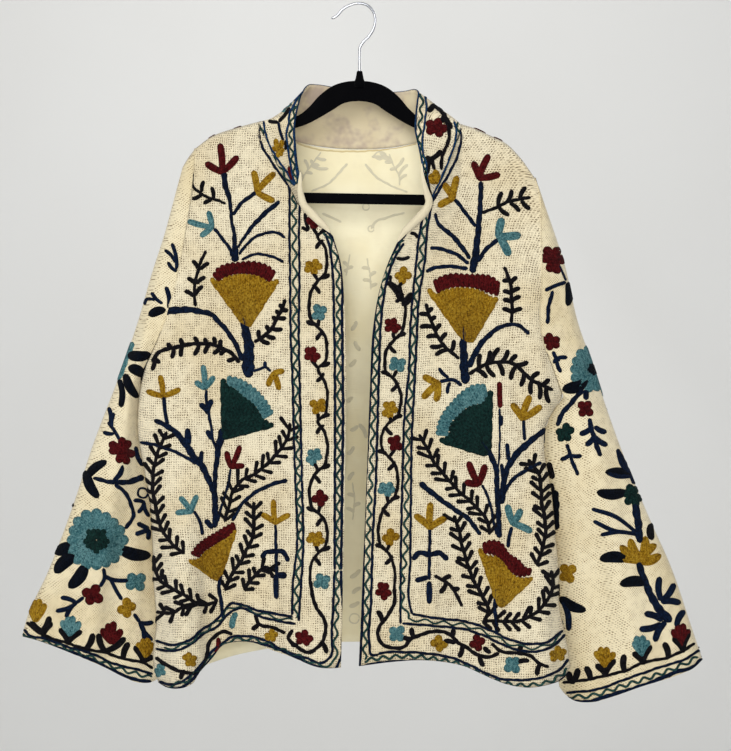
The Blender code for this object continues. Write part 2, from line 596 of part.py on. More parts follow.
def add_roll(name, rows, side):
    """The lining's roll: an open curl of even wall carried along the front edge. Side is 1 where the panel
    lies to the viewer's left of its edge, and -1 where it lies to the right."""
    path = along(rows, np.linspace(0, 1, ROLL_STEPS))
    run = np.gradient(path[:, :2], axis=0)
    run /= np.linalg.norm(run, axis=1)[:, None]
    inset = np.column_stack([-run[:, 1], run[:, 0]]) * side
    section = np.asarray(ROLL_SECTION, float)
    turn = np.gradient(section, axis=0)
    turn /= np.linalg.norm(turn, axis=1)[:, None]
    across_wall = np.column_stack([-turn[:, 1], turn[:, 0]]) * LINING / 2
    size = path[:, 3][:, None, None]
    least = np.array([.55, .45])
    scale = least + (1 - least) * size
    shaped = section[None] * scale
    clear = CLOTH + SEAM + LINING / 2
    shaped[..., 1] = np.where(section[:, 1] > 0, np.maximum(shaped[..., 1], 1), shaped[..., 1])
    shaped[:, -1, 1] = np.minimum(shaped[:, -1, 1], -clear - .3)
    loop = np.concatenate([shaped + across_wall, (shaped - across_wall)[:, ::-1]], axis=1)
    points = np.empty(loop.shape[:2] + (3,))
    points[..., 0] = path[:, 0][:, None] + inset[:, 0][:, None] * loop[..., 0]
    points[..., 1] = path[:, 1][:, None] + inset[:, 1][:, None] * loop[..., 0]
    points[..., 2] = path[:, 2][:, None] - loop[..., 1]
    add_tube(name, seen(points), "fine_cotton", side > 0)


def add_tube(name, rings, finish_name, flip=False, closed=False):
    """A solid through a run of rings: quads between neighbours, and a cap at each end or, when closed, the
    last ring joined to the first."""
    count, sides = rings.shape[:2]
    spans = count if closed else count - 1
    j, i = np.divmod(np.arange(spans * sides), sides)
    k, m = (j + 1) % count, (i + 1) % sides
    quads = np.stack([j * sides + i, k * sides + i, k * sides + m, j * sides + m], axis=1)
    faces = quads.tolist()
    if not closed:
        faces += [list(range(sides)), [count * sides - 1 - n for n in range(sides)]]
    if flip:
        faces = [face[::-1] for face in faces]
    mesh = bpy.data.meshes.new(name)
    mesh.from_pydata(rings.reshape(-1, 3).tolist(), [], faces)
    mesh.shade_smooth()
    mesh.set_sharp_from_angle(angle=np.radians(50))
    return add_object(name, mesh, finish_name)


def cut(piece, other, operation):
    """A Boolean between a piece and a guide that isn't drawn."""
    other.hide_render = True
    other.display_type = "WIRE"
    modifier = piece.modifiers.new(operation.lower(), "BOOLEAN")
    modifier.operation = operation
    modifier.object = other


def turned(name, rows, sides=12):
    """A round solid about the hook's upright line: a ring of the radius at each drop."""
    angle = np.arange(sides) / sides * 2 * np.pi
    rings = np.array([[(r * np.cos(a), r * np.sin(a), -drop) for a in angle] for drop, r in rows]) * MM
    return add_tube(name, rings, "flock")


def add_hanger():
    """The flocked frame: an eight-sided section carried round the arms and the bar, with the neck that
    takes the hook and its blind socket."""
    half = np.asarray(HANGER_RUN, float)
    other = half[-2:0:-1] * (-1, 1, 1)
    run = np.concatenate([half, other])
    tilt = np.radians(HANGER_TILT)
    path = np.column_stack([
        run[:, 0] * np.cos(tilt) - run[:, 1] * np.sin(tilt),
        run[:, 1] * np.cos(tilt) + run[:, 0] * np.sin(tilt),
    ])
    path[:, 0] += np.sin(tilt) * HANGER_NECK[0][0]
    step = np.roll(path, -1, axis=0) - np.roll(path, 1, axis=0)
    step /= np.linalg.norm(step, axis=1)[:, None]
    outward = np.column_stack([step[:, 1], -step[:, 0]])
    flat = HANGER_THICKNESS / 2
    section = np.array([(1, -.4), (1, .4), (.72, 1), (-.72, 1), (-1, .4), (-1, -.4), (-.72, -1), (.72, -1)])
    place = run[:, 2][:, None] * section[:, 0]
    rings = np.stack([
        path[:, 0][:, None] + outward[:, 0][:, None] * place,
        np.broadcast_to(section[:, 1] * flat, place.shape),
        -(path[:, 1][:, None] + outward[:, 1][:, None] * place),
    ], axis=-1) * MM
    frame = add_tube("hanger_frame", rings, "flock", closed=True)
    cut(frame, turned("neck_guide", HANGER_NECK), "UNION")
    bore = HOOK_RADIUS + SEAM
    cut(frame, turned("socket_guide", ((HANGER_NECK[0][0] - 5, bore), (HOOK_SOCKET_FOOT, bore))), "DIFFERENCE")


def add_hook():
    """The wire hook: a round bevel on a smooth curve."""
    path = along(HOOK_RUN, np.linspace(0, 1, 46))
    curve = bpy.data.curves.new("hanger_hook", "CURVE")
    curve.dimensions = "3D"
    curve.bevel_depth = HOOK_RADIUS * MM
    curve.bevel_resolution = 2
    curve.use_fill_caps = True
    spline = curve.splines.new("POLY")
    spline.points.add(len(path) - 1)
    for point, (across, drop) in zip(spline.points, path):
        point.co = (across * MM, 0, -drop * MM, 1)
    add_object("hanger_hook", curve, "chrome")


def main():
    for old in list(bpy.data.objects):
        bpy.data.objects.remove(old)
    add_jacket()
    add_roll("edge_roll_right", ROLL_RIGHT, 1)
    add_roll("edge_roll_left", ROLL_LEFT, -1)
    add_hanger()
    add_hook()


main()
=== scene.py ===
"""Looks of an embroidered open-front jacket that hangs on a slim flocked hanger with a wire hook.

Cloth tables are given as they look from straight in front, on the hanger's plane, in millimetres: across runs
to the viewer's right from the hook, drop runs down from the place where the hook rests, and depth lies behind
the hanger's plane. Stitch plans are drawn on squared paper whose squares are 1.17 mm, with the hook's seat at
square 359.6 across and 4.5 down.
"""

import bpy
import numpy as np
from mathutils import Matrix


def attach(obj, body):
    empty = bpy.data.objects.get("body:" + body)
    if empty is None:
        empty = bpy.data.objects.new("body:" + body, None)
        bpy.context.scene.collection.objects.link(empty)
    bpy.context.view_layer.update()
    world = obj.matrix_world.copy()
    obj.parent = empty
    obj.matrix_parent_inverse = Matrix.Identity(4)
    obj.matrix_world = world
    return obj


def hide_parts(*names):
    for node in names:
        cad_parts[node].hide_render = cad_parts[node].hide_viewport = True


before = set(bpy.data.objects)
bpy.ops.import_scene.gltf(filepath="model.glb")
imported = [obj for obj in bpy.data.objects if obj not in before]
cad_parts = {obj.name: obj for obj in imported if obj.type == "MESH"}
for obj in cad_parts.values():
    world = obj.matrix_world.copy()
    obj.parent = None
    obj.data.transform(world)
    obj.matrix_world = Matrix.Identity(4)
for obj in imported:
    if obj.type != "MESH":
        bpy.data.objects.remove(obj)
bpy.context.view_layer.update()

MM = 0.001
SQUARE = 1.17
HOOK_SQUARE = (359.6, 4.5)
EYE_ACROSS = 6.9
EYE_DROP = 434.0
EYE_DISTANCE = 2000.0

# Cloth
CLOTH_WALL = 1.3
LINING_GAP = 1.9
LINING_WALL = .7
SEAM = 0.3
# How many seams' width the collar starts above the neck
COLLAR_SEAM = 2.4
ARMHOLE_FULLNESS = 20.0
CUFF_FULLNESS = 27.0
UNDERARM_DEPTH = -7.0
SIDE_FOLD_WIDTH = 45.0
BACK_FOLD_DEPTH = 6.0
SHOULDER_ROLL = 5.0
NECK_ROLL = 40.0
CUFF_REAR_LIFT = 8.0
# How much of a front's and of the back's top is shoulder, counted from the side
SHOULDER_SHARE = .42
BACK_SHOULDER_SHARE = .25
# The roll over the seam by the shoulder's end of a front's neck
NECK_ROLL_START = 12.0
# The drop at which a front edge starts to hang by its own table, and the run over which it changes to it
EDGE_HANG_TOP = 170.0
EDGE_HANG_FADE = 60.0
# The back's small tuck behind the arm and behind the side seam, and the run over which each fades
ARM_TUCK_LENGTH = 60.0
ARM_TUCK_FADE = 50.0
SIDE_TUCK_FADE = 25.0
BACK_SIDE_WIDTH = 95.0
# Folds narrower than this are small creases, which fade at their feet
CREASE_WIDTH = 15.0

# Columns: across, drop
SHOULDER_RIGHT = ((-193, 169), (-174, 155), (-140, 143), (-118, 137))
SHOULDER_LEFT = ((205, 203), (187, 178), (172, 163), (150, 152), (135, 145), (119, 140))
ARMHOLE_RIGHT = ((-193, 169), (-195, 199), (-204, 264), (-215, 324), (-227, 368), (-239, 398), (-252, 425))
ARMHOLE_LEFT = ((205, 203), (211, 225), (212, 267), (213, 329), (211, 370), (215, 395), (225, 422), (238, 458))

# Columns: across, drop, depth
SIDE_RIGHT = (
    (-252, 425, -7), (-258, 458, -8), (-260, 494, -9), (-252, 546, -10), (-246, 576, -11),
    (-243, 621, -12), (-241, 680, -13), (-238, 719, -14), (-241, 772, -15), (-236, 792, -15),
)
SIDE_LEFT = (
    (238, 458, -7), (228, 474, -8), (218, 493, -9), (217, 528, -10), (223, 560, -11),
    (229, 617, -12), (233, 658, -13), (234, 705, -14), (243, 748, -15), (247, 774, -15),
)
SLOPE_RIGHT = ((-66, 235.5, -22), (-56, 244, -23), (-43, 256.5, -24), (-31, 271, -25))
SLOPE_LEFT = ((78, 239, -22), (68, 248, -23), (56, 262, -24), (43, 280, -25))

# Columns: across, drop
FRONT_EDGE_RIGHT = (
    (-31, 271), (-22, 303), (-18, 348), (-16, 404), (-16, 484), (-18, 600), (-20, 700), (-22, 776),
)
FRONT_EDGE_LEFT = (
    (43, 280), (33, 303), (23, 335), (15.5, 380), (12, 450), (8, 560), (3, 680), (-1, 774),
)
HEM_RIGHT = (
    (-236, 792), (-224, 799), (-209, 800), (-195, 794), (-187, 780), (-173, 765), (-159, 749),
    (-148, 746), (-122, 747), (-106, 754), (-80, 763), (-45, 776), (-22, 776),
)
HEM_LEFT = (
    (247, 774), (238, 788), (219, 796), (201, 799), (172, 795), (145, 784), (122, 774), (98, 769),
    (67, 767), (39, 769), (-1, 774),
)
HEM_BACK = (
    (-236, 792), (-205, 781), (-160, 765), (-100, 752), (-40, 746), (0, 745), (60, 748), (130, 755),
    (190, 764), (247, 774),
)

# Columns: across, drop, depth. The neck seams run from the shoulder
NECK_RIGHT = (
    (-118, 137, 0), (-118.5, 139.5, -4.2), (-115.5, 148, -5.5), (-107, 164, -9), (-100, 181, -12),
    (-91, 198, -15), (-81, 216, -18), (-73, 233, -20.5),
)
NECK_LEFT = (
    (119, 140, 0), (119.5, 142.5, -4.2), (117, 152, -5.5), (110, 172, -9.5), (103, 190, -12.5),
    (96, 206, -15), (89, 220, -18), (85, 233, -20.5),
)
NECK_BACK = (
    (-118, 137, 0), (-118, 139.5, 4.2), (-112, 143, 14), (-98, 151, 26), (-75, 161, 33), (-38, 168, 37),
    (0, 170, 38), (38, 168, 37), (72, 161, 33), (98, 153, 26), (113, 146, 14), (119.5, 142.5, 4.2),
    (119, 140, 0),
)

# Columns: across, drop, depth, bulge. The collar's free edge, a row for each row of the neck seams
COLLAR_EDGE_RIGHT = (
    (-74, 128, -5.5, 0), (-75.5, 137, -8.5, 0), (-76, 147, -12, 0), (-75, 164, -17, 1), (-73.5, 182, -20, 1),
    (-71, 199, -21.5, 1), (-69, 215, -22, 0), (-66, 230, -22, 0),
)
COLLAR_EDGE_LEFT = (
    (66.5, 120, -3, 5), (65.5, 131, -7, 5), (65, 147, -12, 4), (70, 170, -17, 2), (73, 188, -20, 1),
    (75, 203, -21.5, 1), (77.5, 216, -22, 0), (81, 229, -22, 0),
)
COLLAR_EDGE_BACK = (
    (-74, 128, -5.5, 0), (-72, 119, -1, 0), (-68, 106, 8, 0), (-61, 95, 17, 1), (-49, 94, 25, 2),
    (-25, 98, 30, 2), (0, 101, 31, 2), (27, 103, 30, 2), (50, 102, 26, 2), (64, 99.5, 18, 2),
    (68.5, 103, 9, 4), (67.5, 112, 1, 5), (66.5, 120, -3, 5),
)

# Columns: drop, depth
FRONT_HANG = ((140, -5), (200, -10), (300, -20), (425, -27), (600, -33), (800, -38))
FRONT_EDGE_HANG = ((233, -22.5), (270, -25), (330, -27), (425, -31), (600, -36), (776, -41))
BACK_HANG = ((140, 5), (200, 9), (300, 15), (425, 18), (600, 20), (800, 24))
BACK_MIDDLE_HANG = ((140, 39), (170, 38), (230, 35), (300, 31), (425, 27), (600, 26), (800, 28))
BACK_MIDDLE_WIDTH = 165.0
FRONT_EDGE_WIDTH = 70.0

# Columns: across at the top, top drop, across at the foot, foot drop, half width, rise towards the viewer.
# The first rows of each table are the large folds, and the rest are the uneven small creases
FOLDS_RIGHT = (
    (-214, 540, -212, 800, 34, 17), (-168, 560, -158, 790, 36, -13), (-112, 330, -108, 790, 40, 5),
    (-60, 420, -48, 790, 34, 7), (-170, 200, -196, 470, 26, 4),
    (-236, 430, -222, 560, 14, 3), (-205, 300, -232, 440, 13, 2.4), (-186, 250, -214, 400, 10, -2),
    (-140, 200, -150, 330, 12, -1.8), (-92, 230, -86, 420, 13, 1.6), (-132, 480, -128, 700, 11, 2),
    (-92, 560, -84, 770, 12, -2.2), (-70, 290, -58, 470, 9, -1.3), (-236, 640, -232, 800, 9, -2.5),
    (-190, 620, -186, 790, 10, 3.2), (-34, 360, -34, 620, 7, -1), (-152, 400, -172, 560, 13, 2),
)
FOLDS_LEFT = (
    (214, 560, 204, 800, 44, 15), (140, 500, 122, 790, 46, -8), (66, 430, 58, 790, 36, 5),
    (186, 215, 214, 440, 24, 6), (150, 300, 196, 470, 30, -5),
    (168, 210, 192, 330, 10, 2.2), (132, 240, 150, 380, 13, -1.7), (205, 470, 200, 600, 12, 2.6),
    (178, 520, 170, 700, 13, -2.6), (110, 330, 104, 520, 12, 1.8), (92, 560, 84, 770, 11, 2.2),
    (160, 640, 158, 795, 12, 2.8), (226, 640, 234, 790, 10, -2.6), (46, 380, 40, 600, 9, 1.2),
    (84, 250, 78, 400, 11, -1.4), (36, 600, 26, 775, 9, -1.6),
)
FOLDS_BACK = (
    (-150, 260, -165, 790, 46, 12), (-70, 300, -84, 790, 44, -9), (10, 240, 6, 790, 50, 9),
    (92, 300, 104, 790, 42, -10), (160, 260, 176, 790, 44, 12),
    (-190, 380, -200, 560, 14, 2.4), (-112, 430, -120, 700, 12, -2.2), (-36, 520, -30, 780, 13, 2.2),
    (46, 400, 50, 640, 12, -2), (128, 500, 134, 780, 13, 2.6), (196, 420, 206, 640, 13, -2.4),
    (-60, 200, -66, 330, 14, 1.5), (70, 210, 78, 360, 12, 1.6),
)

# Columns: across, drop
SLEEVE_TOP_RIGHT = ((-207, 190), (-201, 180), (-193, 169))
SLEEVE_TOP_LEFT = ((214, 227), (210, 214), (205, 203))
SLEEVE_OUTER_RIGHT = (
    (-207, 190), (-216, 223), (-227, 264), (-246, 324), (-254, 353), (-282, 436), (-312, 515), (-334, 582),
    (-364, 662), (-390, 720), (-395, 739),
)
SLEEVE_OUTER_LEFT = (
    (214, 227), (227, 264), (239, 301), (258, 380), (267, 405), (293, 484), (315, 543), (344, 612),
    (362, 652), (388, 727), (401, 766),
)
SLEEVE_INNER_RIGHT = (
    (-252, 425), (-255.5, 455), (-253, 488), (-245, 530), (-237, 575), (-231, 630), (-228, 700), (-228, 784),
)
SLEEVE_INNER_LEFT = (
    (238, 458), (222, 483), (213, 508), (209, 545), (212, 590), (218, 650), (224, 720), (233, 798),
)
CUFF_RIGHT = (
    (-395, 739), (-376, 744), (-349, 754), (-320, 766), (-297, 776), (-275, 787), (-260, 793), (-244, 793),
    (-228, 784),
)
CUFF_LEFT = (
    (401, 766), (392, 775), (368, 786), (332, 797), (292, 811), (272, 816), (251, 814), (240, 807), (233, 798),
)
SLEEVE_OUTER_DEPTH = 6.0
SLEEVE_INNER_DEPTH = 25.0
SLEEVE_FOLDS_RIGHT = (
    (-238, 300, -330, 770, 26, 6), (-262, 470, -292, 790, 22, -6),
    (-222, 250, -262, 430, 10, 2.6), (-240, 380, -262, 520, 11, -2.4), (-290, 480, -352, 740, 13, -2.2),
    (-318, 560, -372, 745, 9, 2), (-262, 600, -254, 790, 9, 2.4), (-300, 640, -312, 770, 9, 2),
)
SLEEVE_FOLDS_LEFT = (
    (240, 320, 330, 790, 26, 6), (256, 480, 292, 810, 22, -6),
    (226, 270, 262, 420, 10, 2.6), (246, 400, 262, 560, 11, -2.4), (290, 500, 356, 760, 13, -2.2),
    (322, 590, 380, 770, 9, 2), (246, 640, 256, 810, 9, 2.4), (300, 660, 312, 800, 9, -2),
)

# Columns: across, drop, depth, size
ROLL_RIGHT = (
    (-69, 196, -22, .25), (-69, 208, -22.2, .6), (-68, 221, -22.5, .9), (-64.5, 232, -23, 1.1),
    (-57, 241.5, -23.5, 1.1), (-49, 249.5, -24, 1), (-41, 257.5, -24.5, .8), (-34, 266.5, -25, .4),
)
ROLL_LEFT = (
    (72, 186, -19.7, .25), (73.2, 203, -21.4, .5), (76.6, 218, -22, .75), (79.5, 231, -23, 1.1),
    (74, 242, -23.5, 1.2), (65, 251, -24, 1.2), (54, 262, -24.5, .9), (44, 277, -25, .4),
)
ROLL_WALL = 1.0
# Columns: inset from the edge, stand-off from the cloth's face
ROLL_SECTION = ((6.5, 1), (4.6, 3), (1.4, 4), (-1.8, 2.7), (-2.7, -.2), (-1.6, -3), (1.6, -3.8))


def upright(flat, depth):
    """Pairs of across and drop, with a depth, to metres in the object's own directions."""
    return np.stack([flat[..., 0], np.broadcast_to(depth, flat.shape[:-1]), -flat[..., 1]], axis=-1) * MM


def seen(points):
    """Across, drop and depth to metres: each point is carried along its line of sight to its depth."""
    points = np.asarray(points, float)
    flat = points[..., :2] + (points[..., :2] - (EYE_ACROSS, EYE_DROP)) * (points[..., 2:] / EYE_DISTANCE)
    return upright(flat, points[..., 2])


def unit(vectors):
    """The vectors, each brought to a length of one."""
    return vectors / np.maximum(np.linalg.norm(vectors, axis=-1, keepdims=True), 1e-12)


def square_to(run):
    """Flat vectors turned by a quarter circle."""
    return np.column_stack([-run[:, 1], run[:, 0]])


def ways(angle):
    """Flat unit vectors at the angles."""
    return np.column_stack([np.cos(angle), np.sin(angle)])


def lengths(points):
    """How far along a broken line each of its points lies."""
    return np.concatenate([[0], np.cumsum(np.linalg.norm(np.diff(points, axis=0), axis=1))])


def along(rows, fractions, by_row=False):
    """A smooth curve through the rows: a cubic from row to row, whose slope at each row is the mean of the
    slopes beside it. Fractions are of the curve's length or, by row, of the number of rows."""
    rows = np.asarray(rows, float)
    fractions = np.asarray(fractions, float)
    if by_row:
        length = np.arange(len(rows), dtype=float)
    else:
        length = lengths(rows[:, :2])
    length /= length[-1]
    slope = np.gradient(rows, length, axis=0)
    span = np.clip(np.searchsorted(length, fractions, side="right") - 1, 0, len(rows) - 2)
    width = (length[span + 1] - length[span])[:, None]
    u = (fractions - length[span])[:, None] / width
    start = (1 + 2 * u) * (1 - u) ** 2 * rows[span] + u * (1 - u) ** 2 * width * slope[span]
    end = u * u * (3 - 2 * u) * rows[span + 1] + u * u * (u - 1) * width * slope[span + 1]
    return start + end


def at_drop(rows, drop, column=0):
    """One column of a table whose rows hold drop in column 1, read at any drop."""
    rows = np.asarray(rows, float)
    return np.interp(drop, rows[:, 1], rows[:, column])


def hang(table, drop):
    """Depth from a table of drop and depth."""
    table = np.asarray(table, float)
    return np.interp(drop, table[:, 0], table[:, 1])


def blend_edges(top, foot, left, right, s, t):
    """A sheet between four edge curves: the two straight blends across and down, less the blend of the
    four corners that both hold."""
    s = np.asarray(s, float)[None, :, None]
    t = np.asarray(t, float)[:, None, None]
    across = (1 - s) * left[:, None] + s * right[:, None]
    down = (1 - t) * top[None] + t * foot[None]
    corners = (1 - t) * ((1 - s) * top[0] + s * top[-1]) + t * ((1 - s) * foot[0] + s * foot[-1])
    return across + down - corners


def smooth(q):
    """Rises from 0 to 1 with level ends, as 3q squared less 2q cubed."""
    q = np.clip(q, 0, 1)
    return q * q * (3 - 2 * q)


def rounded(q):
    """Rises from 0 to 1 along a quarter circle, steep at first."""
    return np.sqrt(1 - (1 - np.clip(q, 0, 1)) ** 2)


def dome(q):
    """Rises from 0 to 1 and falls back to 0 as q goes from 0 to 1, along half a circle."""
    return np.sqrt(np.clip(1 - (2 * q - 1) ** 2, 0, 1))


def folds(table, across, drop):
    """The sum of soft ridges: each is its rise, times a squared cosine across its width, times an even
    start and, on a small crease, an even finish along its length."""
    total = np.zeros_like(across)
    for top_across, top_drop, foot_across, foot_drop, half_width, rise in table:
        down = np.clip((drop - top_drop) / (foot_drop - top_drop), 0, 1.2)
        middle = top_across + (foot_across - top_across) * down
        beside = np.clip(np.abs(across - middle) / half_width, 0, 1)
        ends = smooth(down * 1.6)
        if half_width < CREASE_WIDTH:
            ends = ends * smooth((1.2 - down) * 2.5)
        total += rise * ends * np.cos(beside * np.pi / 2) ** 2
    return total


def crowded(count, share=.6):
    """Steps from 0 to 1 that lie closer together near 0: a straight share and a squared share."""
    u = np.linspace(0, 1, count)
    return (1 - share) * u + share * u * u


def armhole(rows, facing, a):
    """The armhole's points with their depth: the front half, at facing -1, and the back half, at facing 1,
    part from each other as the halves of an ellipse do."""
    path = along(rows, a)
    fullness = dome(a) * ARMHOLE_FULLNESS + SEAM / 2
    return np.column_stack([path, UNDERARM_DEPTH * a * a + facing * fullness])


def run_length(rows):
    """The length of a table's broken line."""
    return np.linalg.norm(np.diff(np.asarray(rows, float)[:, :2], axis=0), axis=1).sum()


def share_out(upper_rows, lower_rows, t):
    """Fractions t of an edge that runs down one table and then down another, as fractions of each of the two,
    and whether each lies on the upper one."""
    share = run_length(upper_rows) / (run_length(upper_rows) + run_length(lower_rows))
    return np.clip(t / share, 0, 1), np.clip((t - share) / (1 - share), 0, 1), (t <= share)[:, None]


def body_side(armhole_rows, side_rows, facing, t):
    """A body panel's outer edge at fractions t of its length: down the armhole, then down the side seam."""
    a, below, on_armhole = share_out(armhole_rows, side_rows, t)
    lower = along(side_rows, below)
    lower[:, 2] += facing * SEAM / 2
    return np.where(on_armhole, armhole(armhole_rows, facing, a), lower)


def front_grid(
    armhole_rows, side_rows, shoulder, neck, slope, front_edge, hem, fold_table, columns=150, rows=112,
):
    """A front as a grid of across, drop and depth: four edge curves blended, hung from the side's depth to
    the front's over a quarter circle, less its folds. Columns run from the side to the front edge."""
    s = np.linspace(0, 1, columns)
    t = crowded(rows)
    neck = np.concatenate([neck, slope]).astype(float)
    on_shoulder = s < SHOULDER_SHARE
    past_shoulder = (s - SHOULDER_SHARE) / (1 - SHOULDER_SHARE)
    neck_part = along(neck, np.clip(past_shoulder, 0, 1), by_row=True)
    shoulder_part = along(shoulder, np.clip(s / SHOULDER_SHARE, 0, 1))
    top = np.where(on_shoulder[:, None], shoulder_part, neck_part[:, :2])
    side = body_side(armhole_rows, side_rows, -1, t)
    edge = along(front_edge, t)
    grid = blend_edges(top, along(hem, s), side[:, :2], edge, s, t)
    edge = np.concatenate([neck[-len(slope) - 1:-1, :2], edge])
    across, drop = grid[..., 0], grid[..., 1]

    side_across = at_drop(side, drop)
    side_depth = np.where(drop < side[0, 1], side[0, 2], at_drop(side, drop, 2))
    field = hang(FRONT_HANG, drop) - folds(fold_table, across, drop)
    near_edge = smooth(1 - np.abs(across - at_drop(edge, drop)) / FRONT_EDGE_WIDTH)
    on_edge = smooth((drop - EDGE_HANG_TOP) / EDGE_HANG_FADE)
    field += near_edge * on_edge * (hang(FRONT_EDGE_HANG, drop) - hang(FRONT_HANG, drop))
    depth = side_depth + (field - side_depth) * rounded(np.abs(across - side_across) / SIDE_FOLD_WIDTH)

    top_depth = np.where(on_shoulder, -SEAM / 2, neck_part[:, 2])
    neck_roll = NECK_ROLL_START + (NECK_ROLL - NECK_ROLL_START) * (s - SHOULDER_SHARE) / (1 - SHOULDER_SHARE)
    roll = np.where(on_shoulder, SHOULDER_ROLL, neck_roll)
    depth = top_depth + (depth - top_depth) * rounded((drop - top[:, 1]) / roll)
    depth[:, 0] = side[:, 2]
    return np.stack([across, drop, depth], axis=-1)


def back_grid(columns=180, rows=100):
    """The back as a grid of across, drop and depth, made as a front is. Columns run from the viewer's left."""
    s = np.linspace(0, 1, columns)
    t = crowded(rows)
    neck = np.asarray(NECK_BACK, float)
    low, high = BACK_SHOULDER_SHARE, 1 - BACK_SHOULDER_SHARE
    neck_part = along(neck, np.clip((s - low) / (high - low), 0, 1), by_row=True)
    top = np.where((s < low)[:, None], along(SHOULDER_RIGHT, np.clip(s / low, 0, 1)), neck_part[:, :2])
    top = np.where((s > high)[:, None], along(SHOULDER_LEFT, np.clip((1 - s) / low, 0, 1)), top)
    side_right = body_side(ARMHOLE_RIGHT, SIDE_RIGHT, 1, t)
    side_left = body_side(ARMHOLE_LEFT, SIDE_LEFT, 1, t)
    grid = blend_edges(top, along(HEM_BACK, s), side_right[:, :2], side_left[:, :2], s, t)
    across, drop = grid[..., 0], grid[..., 1]

    viewer_right = across > 0
    side_across = np.where(viewer_right, at_drop(side_left, drop), at_drop(side_right, drop))
    side_depth = np.where(viewer_right, at_drop(side_left, drop, 2), at_drop(side_right, drop, 2))
    start = np.where(viewer_right, side_left[0, 1], side_right[0, 1])
    side_depth = np.where(drop < start, SEAM / 2, side_depth)
    underarm = np.where(viewer_right, SIDE_LEFT[0][1], SIDE_RIGHT[0][1])
    by_arm = smooth((start + ARM_TUCK_LENGTH - drop) / ARM_TUCK_FADE)
    tuck = BACK_FOLD_DEPTH * (by_arm + smooth((drop - underarm) / SIDE_TUCK_FADE))
    middle = smooth(1.25 * (1 - np.abs(across) / BACK_MIDDLE_WIDTH))
    field = hang(BACK_HANG, drop) * (1 - middle) + hang(BACK_MIDDLE_HANG, drop) * middle
    field += folds(FOLDS_BACK, across, drop)
    from_side = np.abs(across - side_across)
    turned = side_depth + tuck * rounded(from_side / BACK_FOLD_DEPTH)
    depth = turned + (field - turned) * smooth(from_side / BACK_SIDE_WIDTH)

    on_neck = (s >= low) & (s <= high)
    top_depth = np.where(on_neck, neck_part[:, 2], SEAM / 2)
    neck_roll = SHOULDER_ROLL + (NECK_ROLL - SHOULDER_ROLL) * smooth((low - np.abs(s - .5)) * 40)
    roll = np.where(on_neck, neck_roll, SHOULDER_ROLL)
    depth = top_depth + (depth - top_depth) * rounded((drop - top[:, 1]) / roll)
    depth[:, 0] = side_right[:, 2]
    depth[:, -1] = side_left[:, 2]
    return np.stack([across, drop, depth], axis=-1)


def sleeve_grid(armhole_rows, top, outer, inner, cuff, fold_table, outside, columns=46, rows=104):
    """A sleeve as a wrapped sheet: each row runs from the armhole's front edge, round the outer fold, to its
    rear edge. At the armhole it is as open as the armhole, shaped as a quarter ellipse, and lower down it is
    a closed loop that is flatter at its inner side. Outside is -1 at the viewer's left."""
    t = crowded(rows, .3)
    a, below, on_armhole = share_out(armhole_rows, inner, t)
    right = np.where(on_armhole, along(armhole_rows, a), along(inner, below))
    right[:, 0] += 2 * SEAM * outside
    s = .5 - .5 * np.cos(np.linspace(0, 1, columns) * np.pi)
    s = .5 * s + .5 * np.linspace(0, 1, columns)
    top = along(top, s)
    top[-1] = right[0]
    grid = blend_edges(top, along(cuff, s), along(outer, t), right, s, t)
    across, drop = grid[..., 0], grid[..., 1]
    s, t, a, below = s[None, :], t[:, None], a[:, None], below[:, None]

    opening = np.maximum(dome(a) * ARMHOLE_FULLNESS - SEAM, 0)
    swell = CUFF_FULLNESS * smooth((t - .25) / .35)
    loop = np.where(s < .5, dome(s), np.sin(np.pi * s) ** 1.5)
    half = opening * rounded(s) + swell * loop
    half = np.where(s > 0, half + SEAM / 2, 0)
    inner_depth = UNDERARM_DEPTH * a * a + (SLEEVE_INNER_DEPTH - UNDERARM_DEPTH) * (1 - (1 - below) ** 4)
    middle = SLEEVE_OUTER_DEPTH * smooth(2 * t) * (1 - s) + inner_depth * s
    crease = folds(fold_table, across, drop) * np.sin(np.pi * s)
    front = np.stack([across, drop, middle - half - crease], axis=-1)
    lift = CUFF_REAR_LIFT * np.sin(np.pi * s) * t ** 3
    rear = np.stack([across, drop - lift, middle + half - crease * .5], axis=-1)
    return np.concatenate([front[:, ::-1], rear[:, 1:]], axis=1)


def collar_rows():
    """The collar's seam and free edge, from the viewer's left front end round the back to the other end."""
    seam = np.concatenate([NECK_RIGHT[::-1], NECK_BACK[1:-1], NECK_LEFT]).astype(float)
    edge = np.concatenate([COLLAR_EDGE_RIGHT[::-1], COLLAR_EDGE_BACK[1:-1], COLLAR_EDGE_LEFT]).astype(float)
    return seam, edge


def collar_grid(columns=190, rows=22):
    """The collar as a grid of across, drop and depth: a straight blend from the neck seam to the free edge,
    swollen forwards by four times the bulge times v times 1 - v."""
    seam, edge = collar_rows()
    seam = seam + unit(edge[:, :3] - seam) * SEAM * COLLAR_SEAM
    q = np.linspace(0, 1, columns)
    seam = along(seam, q, by_row=True)
    edge = along(edge, q, by_row=True)
    v = np.linspace(0, 1, rows)[:, None, None]
    table = seam + (edge[:, :3] - seam) * v
    swell = np.maximum(edge[:, 3], 0) * 4 * v[..., 0] * (1 - v[..., 0])
    points = seen(table)
    out = normals(points)
    return table + out[..., [0, 2, 1]] * (1, -1, 1) * swell[..., None]


def normals(points, flip=False):
    """Unit vectors that point out of a grid: the step down crossed with the step across."""
    out = unit(np.cross(np.gradient(points, axis=0), np.gradient(points, axis=1)))
    return -out if flip else out


